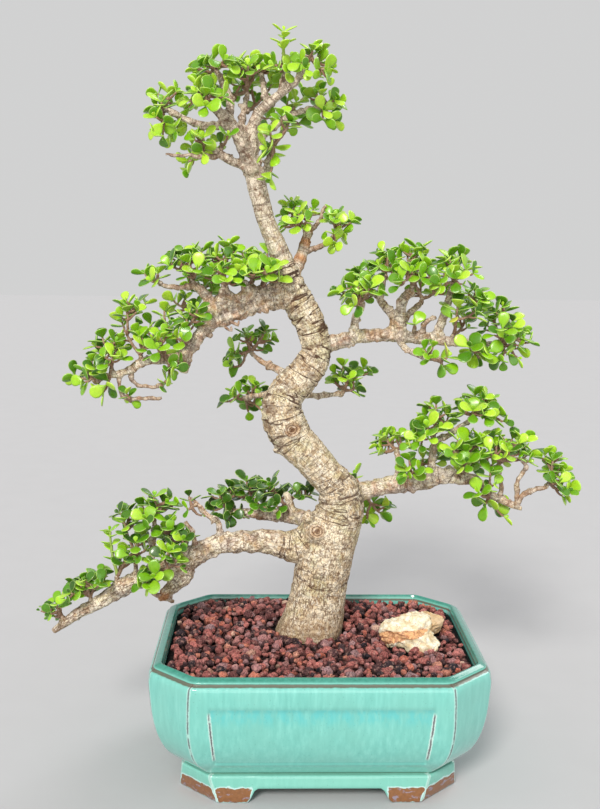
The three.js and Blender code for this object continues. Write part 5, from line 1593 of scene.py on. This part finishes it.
feet, foot_patches = foot_rings()
slab_points, slab_faces = floor_slab()
foot_part = (feet.reshape(-1, 3), quads(feet, closed_rows=True))
pot_points, pot_faces = stacked([wall_part, foot_part, (slab_points, slab_faces)])
wall_size, foot_size, slab_size = len(wall_part[0]), len(foot_part[0]), len(slab_points)
foot_edge = np.tile(plan_loop(130, 37)[1], feet.shape[0])
pot_attributes = {
    "edge": np.concatenate([pot_values["edge"], foot_edge, np.full(slab_size, 20.0)]),
    "side": np.concatenate([pot_values["side"], np.full(foot_size + slab_size, NO_PANEL)]),
    "height": pot_points[:, 2],
    "patch": np.concatenate([np.full(wall_size, NO_PATCH), foot_patches,
                             np.full(slab_size, -NO_PATCH)]),
    "inside": np.concatenate([np.arange(wall_size) >= inner_from * rings.shape[1],
                              np.zeros(foot_size + slab_size)]),
}
print("pot:", sum(len(face) - 2 for face in pot_faces), "triangles")

# %% [markdown]
# ## Glaze
#
# The turquoise glaze is a layer of coloured glass. It is thin over sharp edges, where the
# fired clay shows as a broken purple-brown line between two pale ones; it pools bright
# under the upper border of each panel, and it ran down a little in the kiln. Under the lip
# and on the feet the potter wiped it off, so bare brown clay is seen there.

# %% Glaze finish
def glaze_lines(make, colour):
    """The worn lines along the corners and beside the panels."""
    height = make.named("height")
    broken = make.between(make.noise(3.4, 4, 0.6, make.stretched(1.0, 2.6)), 0.32, 0.5)
    shaken = make.times(make.noise(2.0, 4), 1.6)
    edge = make.plus(make.named("edge"), shaken)
    pale = make.times(make.between(edge, 3.4, 1.6), 0.55)
    colour = make.mix(pale, colour, (200, 230, 222))
    dark = make.times(make.between(edge, 1.9, 1.2), broken)
    dark = make.times(dark, make.between(height, 34, 60, 0.2, 0.8))
    colour = make.mix(dark, colour, (84, 76, 84))
    apart = make.plus(make.sum("ABSOLUTE", make.named("side"), 0.0), shaken)
    stretch = make.times(make.between(height, 46, 52), make.between(height, 100, 94))
    pale = make.times(make.between(apart, 2.9, 1.7), stretch)
    colour = make.mix(make.times(pale, 0.8), colour, (214, 238, 230))
    dark = make.times(make.between(apart, 1.75, 1.2), stretch)
    dark = make.times(dark, make.times(broken, 0.85))
    return make.mix(dark, colour, (88, 64, 78))


def glaze_finish():
    make = Finish("glaze")
    height = make.named("height")
    runs = make.noise(4.5, 5, 0.6, make.stretched(1.0, 7.0))
    cloud = make.noise(42, 4, 0.5)
    fine = make.noise(1.1, 3)
    colour = make.ramp(runs, (0.28, (113, 188, 176)), (0.5, (121, 197, 185)),
                       (0.74, (137, 209, 197)))
    colour = make.mix(make.between(cloud, 0.4, 0.62, 0, 0.5), colour, (125, 195, 182))
    low = make.between(height, 44, 22, 0, 0.5)
    colour = make.mix(low, colour, (124, 188, 168))
    in_panel = make.between(make.named("side"), -0.5, 3.0)
    drips = make.noise(7, 5, 0.6, make.stretched(1.0, 2.2))
    pool = make.times(make.between(height, 80, 95), make.between(height, 103, 100))
    pool = make.times(pool, in_panel)
    pool = make.times(pool, make.between(drips, 0.38, 0.62, 0.15, 0.6))
    colour = make.mix(pool, colour, (84, 194, 196))
    foot_line = make.times(make.between(height, 40.5, 42.5), make.between(height, 45.5, 43.6))
    foot_line = make.times(foot_line, in_panel)
    colour = make.mix(make.times(foot_line, 0.6), colour, (78, 152, 142))
    mouldings = make.times(make.between(height, 25.6, 27), make.between(height, 29.4, 28))
    colour = make.mix(make.times(mouldings, 0.7), colour, (92, 106, 82))
    colour = glaze_lines(make, colour)
    lip = make.between(height, 123.9, 124.6)
    teal = make.ramp(runs, (0.3, (58, 134, 120)), (0.7, (78, 160, 144)))
    teal = make.mix(make.between(height, 126.4, 124.6, 0, 0.7), teal, (128, 206, 188))
    colour = make.mix(lip, colour, teal)
    # painted shade: the inner wall of the pot, above the gravel, is darkened as it lies in shade
    inner = make.between(make.named("inside"), 0.4, 0.6)
    colour = make.mix(inner, colour, (42, 92, 82))
    shaken = make.times(make.noise(5, 4), 1.1)
    level = make.plus(height, shaken)
    clay_line = make.times(make.between(level, 122, 122.6), make.between(level, 125, 124.2))
    clay_line = make.times(clay_line, 0.85)
    colour = make.mix(clay_line, colour, (96, 72, 52))
    specks = make.times(make.between(make.cells(3.6), 0.13, 0.05), 0.4)
    colour = make.mix(specks, colour, (64, 92, 88))
    patch = make.plus(make.named("patch"), make.times(make.noise(8, 5), 7.0))
    patch = make.sum("SUBTRACT", patch, 2.2)
    glow = make.times(make.between(patch, -0.6, 0.8), 0.7)
    colour = make.mix(glow, colour, (206, 232, 232))
    bare = make.between(patch, 1.0, 1.7)
    clay = make.mix(make.noise(3.0, 5), (104, 62, 32), (158, 106, 62))
    smear = make.between(make.noise(4, 5, 0.6, make.stretched(2.0, 1.0)), 0.56, 0.64, 0, 0.6)
    clay = make.mix(smear, clay, (150, 150, 176))
    colour = make.mix(bare, colour, clay)
    rough = make.mix(bare, make.ramp(runs, (0.3, 0.10), (0.7, 0.2)), (0.38, 0.38, 0.38, 1))
    rough = make.mix(clay_line, rough, (0.6, 0.6, 0.6, 1))
    relief = make.bump(cloud, 0.6, 0.5)
    relief = make.bump(fine, 0.10, 0.5, relief)
    return make.finish(colour, rough, relief, Coat_Weight=0.5, Coat_Roughness=0.12)


GLAZE = glaze_finish()
pot = mesh_piece("glazed_pot", pot_points, pot_faces, GLAZE, pot_attributes)
declare(pot, "glaze", "pot")
print("glaze network:", len(GLAZE.node_tree.nodes), "nodes")

# %% [markdown]
# ## Lava gravel
#
# The soil is topped with crushed lava: light porous grains, red-brown with some black and
# a few orange ones. A bumpy sheet would look like carpet from close by, so the top is
# made of single grains in two layers with a different rhythm, over a bed painted dark as the
# shade beneath them.

# %% Soil bed under the grains
SOIL_LEVEL = 122
BED_UNDER = 5.0  # how far the bed lies under the tops of the grains


def soil_height(x, y):
    """The gravel is heaped a little behind the trunk, on the left."""
    heap = 7 * np.exp(-(((x + 42) / 55) ** 2) - (((y - 70) / 32) ** 2))
    return SOIL_LEVEL + heap


def bed_rings():
    rows = []
    for share in (0.04, 0.3, 0.7, 1.0):
        loop, _ = plan_loop(103, 20)
        rows.append(np.column_stack([loop * share, np.full(len(loop), FLOOR_TOP + 0.4)]))
    for height, half, cut in through(INSIDE[::-1], 25).tolist()[1:]:
        loop, _ = plan_loop(half - 0.6, cut)
        rows.append(np.column_stack([loop, np.full(len(loop), height)]))
    loop, _ = plan_loop(142.6, 33)
    for share in np.linspace(1, 0.02, 14):
        spot = loop * share
        top = soil_height(spot[:, 0], spot[:, 1]) - BED_UNDER
        rows.append(np.column_stack([spot, top]))
    return np.array(rows)


bed = bed_rings()
columns = bed.shape[1]
bed_faces = quads(bed)
bed_faces.append(tuple(range(columns - 1, -1, -1)))
bed_faces.append(tuple(range((bed.shape[0] - 1) * columns, bed.shape[0] * columns)))
print("soil bed:", bed.shape[0], "rings of", columns)

# %% [markdown]
# Crushed rock has flat broken sides, so a grain is a ball with nine flats cut off it,
# each at a seeded random angle. Grains lie on a grid that is shaken hard enough to hide
# its rows, and leave room for the trunk and the stone.

# %% Single grains
ROUND = 36.0  # radius kept free for the foot of the trunk
UNDER_STONE = [[88, -20, 30, 20], [111, -4, 16, 14]]  # x, depth and their half lengths
BED_X, BED_Y, BED_CUT_X, BED_CUT_Y = 143, 108, 33, 31.3  # half lengths and cut corners
CUTS = 9
LEAST_CUT = 0.54  # how near its middle a grain can be cut
LAYER_SEEDS = 7919
GRAIN_POINTS, GRAIN_FACES = ball(2)


def broken_radius(points, seed, cuts, least):
    """How far each point of a ball stays out when flat sides are broken off it."""
    radius = np.full(len(points), 1.15)
    for cut in range(cuts):
        way = unit(np.array([draw(seed, cut, 4, axis) - 0.5 for axis in (1, 2, 3)]) + 1e-4)
        flat = (least + 0.3 * draw(seed, cut, 4, 4)) / np.maximum(points @ way, 0.05)
        radius = np.minimum(radius, flat)
    return radius


def grain_solid(seed, x, y, z, size):
    """One crushed grain: a broken ball, roughened, stretched and turned."""
    radius = broken_radius(GRAIN_POINTS, seed, CUTS, LEAST_CUT)
    shift = Vector((seed * 1.37, 5.1, 0))
    radius = radius + [0.2 * noise.noise(Vector(point) * 2.3 + shift) for point in GRAIN_POINTS]
    turn = Matrix.Rotation(2 * math.pi * draw(seed, 1, 5, 1), 3, Vector((
        draw(seed, 1, 5, 2) - 0.5, draw(seed, 1, 5, 3) - 0.5, draw(seed, 1, 5, 4) - 0.499)))
    stretch = np.array([1.0, 0.76 + 0.24 * draw(seed, 2, 4, 1), 0.66 + 0.3 * draw(seed, 2, 4, 2)])
    points = GRAIN_POINTS * radius[:, None] * stretch * size
    return points @ np.array(turn).T + [x, y, z]


def free_spot(x, y, size):
    """Whether a grain fits there, inside the pot and clear of the trunk and the stone."""
    if abs(x) > BED_X - size or abs(y) > BED_Y - size:
        return False
    corner = BED_X / BED_CUT_X + BED_Y / BED_CUT_Y - 1
    if abs(x) / BED_CUT_X + abs(y) / BED_CUT_Y > corner - size / 22:
        return False
    if math.hypot(x - FOOT_X, y - FOOT_Y) < ROUND + 0.2 * size:
        return False
    return all(((x - left) / half_x) ** 2 + ((y - front) / half_y) ** 2 > 0.72
               for left, front, half_x, half_y in UNDER_STONE)


def grain_layer(layer, spacing, low, high, lift):
    """Grains on a shaken triangular grid."""
    parts, tones, seed = [], [], 0
    rows = int(220 / (spacing * 0.866))
    for row in range(rows):
        for column in range(int(292 / spacing)):
            seed += 1
            key = layer * LAYER_SEEDS + seed
            x = -146 + spacing * (column + 0.5 * (row % 2) + 0.9 * (draw(key, 1, 1, 1) - 0.5))
            y = -109 + spacing * 0.866 * (row + 0.9 * (draw(key, 1, 1, 2) - 0.5))
            size = low + (high - low) * draw(key, 1, 1, 3) ** 1.8
            if not free_spot(x, y, size):
                continue
            z = float(soil_height(x, y)) + lift - 0.3 * size + 2.2 * (draw(key, 1, 1, 5) - 0.5)
            parts.append((grain_solid(key, x, y, z, size), GRAIN_FACES))
            # painted shade: grains of the lower layer get darker tones, as they lie in the shade
            # of the top layer
            tones.append(draw(key, 1, 1, 6) * (0.55 if layer == 1 else 1.0))
    return parts, tones


grain_layers = [grain_layer(1, 8.8, 3.8, 6.2, -3.2), grain_layer(2, 7.5, 2.6, 7.0, 1.2)]
print("grains:", [len(parts) for parts, _ in grain_layers])

# %% [markdown]
# Lava is full of burst bubbles, so its finish is all pits and crumbs pressed into the
# surface, with dust in patches, one colour for each grain and painted shade that darkens them
# deep between the grains.

# %% Gravel finish and pieces
def gravel_finish():
    make = Finish("gravel")
    tone = make.ramp(make.named("tone"), (0.0, (50, 46, 54)), (0.14, (92, 64, 66)),
                     (0.35, (160, 95, 91)), (0.62, (210, 128, 120)),
                     (0.82, (170, 138, 142)), (0.90, (206, 114, 92)),
                     (0.985, (222, 146, 124)), (1.0, (236, 202, 180)))
    pits = make.cells(2.1)
    crumbs = make.noise(1.6, 5, 0.7)
    colour = make.mix(0.7, tone, make.ramp(pits, (0.08, 0.16), (0.36, 1.0)), "MULTIPLY")
    colour = make.mix(0.75, colour, make.ramp(crumbs, (0.38, 0.2), (0.56, 1.1)), "MULTIPLY")
    dust = make.between(make.noise(2.4, 4), 0.54, 0.64, 0, 0.45)
    colour = make.mix(dust, colour, (206, 160, 146))
    # painted shade: the colour is darkened deep between the grains, by how open each point lies
    shade = make.ramp(make.named("open"), (0.0, 0.1), (0.4, 0.5), (0.75, 1.0))
    colour = make.mix(1.0, colour, shade, "MULTIPLY")
    relief = make.bump(pits, 1.3, 1.0)
    relief = make.bump(crumbs, 1.2, 0.9, relief)
    return make.finish(colour, 0.9, relief, Specular_IOR_Level=0.25)


def painted_light_on_grains(points):
    """Painted shade: 0 deep between the grains, where it is darkest, and 1 on their tops."""
    return np.clip((points[:, 2] - soil_height(points[:, 0], points[:, 1]) + 2.5) / 6.5, 0, 1)


GRAVEL = gravel_finish()
# painted shade: the bed gets the darkest tone and full shade, as it lies in the shade under the
# grains
bed_piece = mesh_piece("soil_bed", bed.reshape(-1, 3), bed_faces, GRAVEL,
                       {"tone": np.full(bed.shape[0] * columns, -0.2),
                        "open": np.zeros(bed.shape[0] * columns)})
declare(bed_piece, "gravel", "soil_gravel")
for layer, (parts, tones) in enumerate(grain_layers):
    points, faces = stacked(parts)
    values = {"tone": np.repeat(tones, len(GRAIN_POINTS)), "open": painted_light_on_grains(points)}
    piece = mesh_piece(f"lava_grains_{layer}", points, faces, GRAVEL, values, smooth=False)
    declare(piece, "gravel", "soil_gravel")
    print("layer", layer, ":", len(faces), "triangles")

# %% [markdown]
# ## Ornamental stone
#
# A pale lump of crusted limestone lies in front on the right: a white slab that rises to
# the right over a rusty seam, a wedge that dips below it and a tan lobe behind. Broken
# balls stand for the beds of the stone; they are fused and then worn by noise, the way
# such a stone splits along its beds and weathers.

# %% Stone
BEDS = {"body": [87, -20, 131, 25, 17, 13, 0.24], "slab": [88, -14, 139, 21, 15, 9.5, -0.30],
        "heel": [99, -26, 127, 17, 13, 11.5, 0.3], "toe": [74, -22, 130, 12, 11, 9, -0.45],
        "lobe": [109, -2, 138, 14, 12, 11.5, 0.1]}  # middle, half lengths, tilt in radians
WORN_OUT, WORN_IN = 1.2, 3.5


def bed_frame(bed):
    x, y, z, half_x, half_y, half_z, tilt = bed
    lean = np.array(Matrix.Rotation(tilt, 3, "Y"))
    return np.array([x, y, z]), np.array([half_x, half_y, half_z]), lean


def bed_solid(seed, bed):
    """A ball squared off and broken flat, as a bed of limestone is."""
    middle, half, lean = bed_frame(bed)
    points, faces = ball(4)
    square = np.sign(points) * np.abs(points) ** 0.8
    points = square * broken_radius(points, seed, 11, 0.72)[:, None] * half
    return points @ lean.T + middle, faces


def out_of_bed(points, bed):
    """About how many millimetres each point lies outside that bed."""
    middle, half, lean = bed_frame(bed)
    return (norm((points - middle) @ lean / half, axis=1) - 1) * half.min()


solids = [bed_solid(40 + seed, bed) for seed, bed in enumerate(BEDS.values())]
stone_points, stone_faces, stone_ways = fused(solids, 0.9 * MM, 1)
bed_depths = {name: out_of_bed(stone_points, bed) for name, bed in BEDS.items()}
main_depth = np.minimum.reduce([bed_depths[name] for name in ("body", "slab", "heel", "toe")])
lobe_mark = smooth_step(main_depth - bed_depths["lobe"], -0.5, 1.5)
cleft_mark = np.exp(-((main_depth - bed_depths["lobe"]) / 1.5) ** 2)

# %% [markdown]
# The rusty seam is read off as it is seen from the front: how high each point looks
# there, and the two lines it lies between, which run together at the right.

# %% Seam, wear and stone finish
LOOK_DOWN = math.radians(22)
seen = stone_points[:, 2] * math.cos(LOOK_DOWN) + stone_points[:, 1] * math.sin(LOOK_DOWN)
upper_line = 116.8 + 0.08 * (stone_points[:, 0] - 57)
along = stone_points[:, 0] - 63.5
lower_line = 105 + 0.2 * along + 0.025 * np.clip(along - 26, 0, None) ** 2
seam_mark = (smooth_step(upper_line - seen, -1.0, 1.0) * smooth_step(seen - lower_line, -1.5, 1.0)
             * (1 - lobe_mark))
ledge_mark = np.exp(-((upper_line - seen) / 1.0) ** 2) * (1 - lobe_mark)
wear = []
for place in stone_points:
    spot = Vector(place)
    ledge = noise.noise(Vector((place[0] / 26, place[1] / 26, place[2] / 4.0)))
    ridge = 1 - 2 * abs(noise.noise(spot / 8))
    chip = abs(noise.noise(spot / 4.2 + Vector((3, 0, 0))))
    grit = noise.noise(spot / 2.1)
    wear.append(0.9 * ledge + 1.5 * (ridge - 0.75) - 1.5 * chip + 0.6 * grit)
wear = np.array(wear) - 0.3 * seam_mark - 0.5 * ledge_mark - 2.0 * cleft_mark
wear = np.clip(wear, -WORN_IN, WORN_OUT)
stone_points = stone_points + stone_ways * wear[:, None]
print("stone:", len(stone_points), "points")


def stone_finish():
    make = Finish("rock")
    pale = make.ramp(make.noise(6, 5), (0.3, (218, 190, 146)), (0.47, (242, 226, 190)),
                     (0.62, (252, 248, 230)))
    rust = make.mix(make.between(make.noise(2.6, 5), 0.35, 0.6), (176, 98, 58), (240, 184, 128))
    shaken = make.plus(make.named("seam"), make.noise(5, 5, 0.6, None, 0.5))
    colour = make.mix(make.between(shaken, 0.95, 1.35, 0, 0.85), pale, rust)
    tan = make.mix(make.noise(4, 5), (176, 122, 78), (234, 204, 154))
    lobe = make.plus(make.named("lobe"), make.noise(6, 4))
    colour = make.mix(make.between(lobe, 0.9, 1.2, 0, 0.75), colour, tan)
    blots = make.between(make.noise(7, 6, 0.65, None, 1.2), 0.56, 0.64, 0, 0.6)
    colour = make.mix(blots, colour, (206, 146, 92))
    pits = make.noise(1.3, 5, 0.7)
    colour = make.mix(0.6, colour, make.ramp(pits, (0.3, 0.45), (0.52, 1.0)), "MULTIPLY")
    hollow = make.between(make.named("worn"), -1.3, -3.0, 0, 0.4)
    colour = make.mix(hollow, colour, (132, 92, 60))
    relief = make.bump(pits, 0.9, 0.8)
    return make.finish(colour, 0.85, relief, Specular_IOR_Level=0.3)


ROCK = stone_finish()
stone = mesh_piece("ornamental_stone_worn", stone_points, stone_faces, ROCK,
                   {"seam": seam_mark, "lobe": lobe_mark, "worn": wear})
declare(stone, "rock", "ornamental_stone")

# %% [markdown]
# ## Drain meshes
#
# A square of plastic mesh lies over each drain hole so that the soil stays in. Only its
# middle shows, from below. It is moulded in one piece, so round bars that cross are
# close to the real thing.

# %% Drain meshes
MESH_HALF = 21
MESH_BAR = 2.4
MESH_THICKNESS = 1.2
MESH_CELLS = 3


def bar(start, end, half_width, half_height):
    """A straight bar with an oval section."""
    points, faces = tube(np.linspace(start, end, 6), np.full(6, 1.0), 10)
    middles = np.vstack([np.repeat(np.linspace(start, end, 6), 10, axis=0), start, end])
    arms = points - middles
    way = unit(np.array(end) - np.array(start))
    across = np.cross([0, 0, 1.0], way)
    width = arms @ across
    arms = width[:, None] * across * half_width + np.outer(arms[:, 2], [0, 0, half_height])
    return middles + arms, faces


def mesh_finish():
    make = Finish("mesh")
    colour = make.mix(make.noise(2.5, 4), (34, 38, 40), (58, 60, 60))
    rough = make.ramp(make.noise(1.2, 3), (0.3, 0.42), (0.7, 0.62))
    return make.finish(colour, rough, make.bump(make.noise(0.7, 2), 0.1, 0.4))


MESH = mesh_finish()
for side, name in ((-1, "left"), (1, "right")):
    middle = np.array([side * DRAIN_X, 0, FLOOR_TOP + 0.32 + MESH_THICKNESS / 2])
    reach = MESH_HALF - MESH_BAR / 2
    parts = []
    for offset in np.linspace(-reach, reach, MESH_CELLS + 1):
        for start, end in (((-MESH_HALF, offset), (MESH_HALF, offset)),
                           ((offset, -MESH_HALF), (offset, MESH_HALF))):
            parts.append(bar(middle + [*start, 0], middle + [*end, 0], MESH_BAR / 2,
                             MESH_THICKNESS / 2))
    points, faces = stacked(parts)
    piece = mesh_piece(f"drain_mesh_bars_{name}", points, faces, MESH)
    declare(piece, "mesh", f"drain_mesh_{name}")
print("drain meshes in place")

# %% [markdown]
# ## Floor, light and camera
#
# A plain pale floor and a pale room keep the eye on the plant. One broad soft light from
# the upper front left models the leaves, a weak one from low in front reaches the wood
# under them and another from behind draws the rims. All are distant, so that the floor
# is evenly lit as far as one sees. The floor has no gloss and the room is about as bright
# as the floor, so that hardly a line shows between them.

# %% Floor and lights
FLOOR_HALF = 9000
WORLD_LIGHT = 0.64


def floor_finish():
    make = Finish("floor")
    colour = make.mix(make.noise(60, 3), (187, 187, 189), (191, 191, 193))
    return make.finish(colour, 0.8, Specular_IOR_Level=0.0)


corners = [[-FLOOR_HALF, -FLOOR_HALF, 0], [FLOOR_HALF, -FLOOR_HALF, 0],
           [FLOOR_HALF, FLOOR_HALF, 0], [-FLOOR_HALF, FLOOR_HALF, 0]]
floor = mesh_piece("floor", corners, [(0, 1, 2, 3)], floor_finish(), smooth=False)

world = bpy.data.worlds.new("pale room")
world.use_nodes = True
background = world.node_tree.nodes["Background"]
background.inputs["Color"].default_value = (0.998, 1.0, 1.0, 1)
background.inputs["Strength"].default_value = WORLD_LIGHT
bpy.context.scene.world = world


def soft_sun(name, come_from, angle, strength, colour=(1.0, 1.0, 1.0)):
    """A broad distant light shining from that side onto the plant."""
    data = bpy.data.lights.new(name, "SUN")
    data.angle = math.radians(angle)
    data.energy = strength
    data.color = colour
    lamp = bpy.data.objects.new(name, data)
    lamp.rotation_euler = (-Vector(come_from)).to_track_quat("-Z", "Y").to_euler()
    bpy.context.scene.collection.objects.link(lamp)


soft_sun("key", (-0.3, -1.0, 0.76), 14, 2.6, (1.0, 0.97, 0.92))
soft_sun("fill", (0.25, -1.0, 0.16), 40, 0.6)
soft_sun("rim", (0.7, 0.8, 0.9), 25, 0.7)
print("lights in place")

# %% [markdown]
# The camera stands where the tree was measured from, a little above the middle of the
# trunk and looking slightly down. It could be aimed by a constraint, but three small
# angles also give the slight tilt of a camera held by hand.

# %% Camera
PITCH, YAW, ROLL = math.radians(8.7), math.radians(1.5), math.radians(0.6)
FOCAL_POINTS, PICTURE_HEIGHT = 1050, 809  # in points of the picture
SENSOR = 36

ahead = Vector((math.sin(YAW) * math.cos(PITCH), math.cos(YAW) * math.cos(PITCH),
                -math.sin(PITCH)))
right = Vector((math.cos(YAW), -math.sin(YAW), 0))
upward = right.cross(ahead)
camera_right = right * math.cos(ROLL) + upward * math.sin(ROLL)
camera_up = upward * math.cos(ROLL) - right * math.sin(ROLL)
axes = Matrix((camera_right, camera_up, -ahead)).transposed()
data = bpy.data.cameras.new("camera")
data.lens = FOCAL_POINTS / PICTURE_HEIGHT * SENSOR
data.sensor_width = SENSOR
data.sensor_fit = "AUTO"
camera = bpy.data.objects.new("camera", data)
camera.matrix_world = Matrix.Translation(Vector(to_scene(EYE))) @ axes.to_4x4()
bpy.context.scene.collection.objects.link(camera)
bpy.context.scene.camera = camera
bpy.context.scene.view_settings.view_transform = "Standard"
print("camera at", tuple(round(value, 3) for value in camera.location))

# %% [markdown]
# ## Close
#
# The finished looks must fill the same box as the measured model, whose box is printed
# at the start.

# %% Sizes and the end
triangles = sum(len(face.vertices) - 2 for piece in bpy.data.objects
                if piece.type == "MESH" and piece.name != "floor" and piece.users_collection
                for face in piece.data.polygons)
print("triangles with the measured model:", triangles)
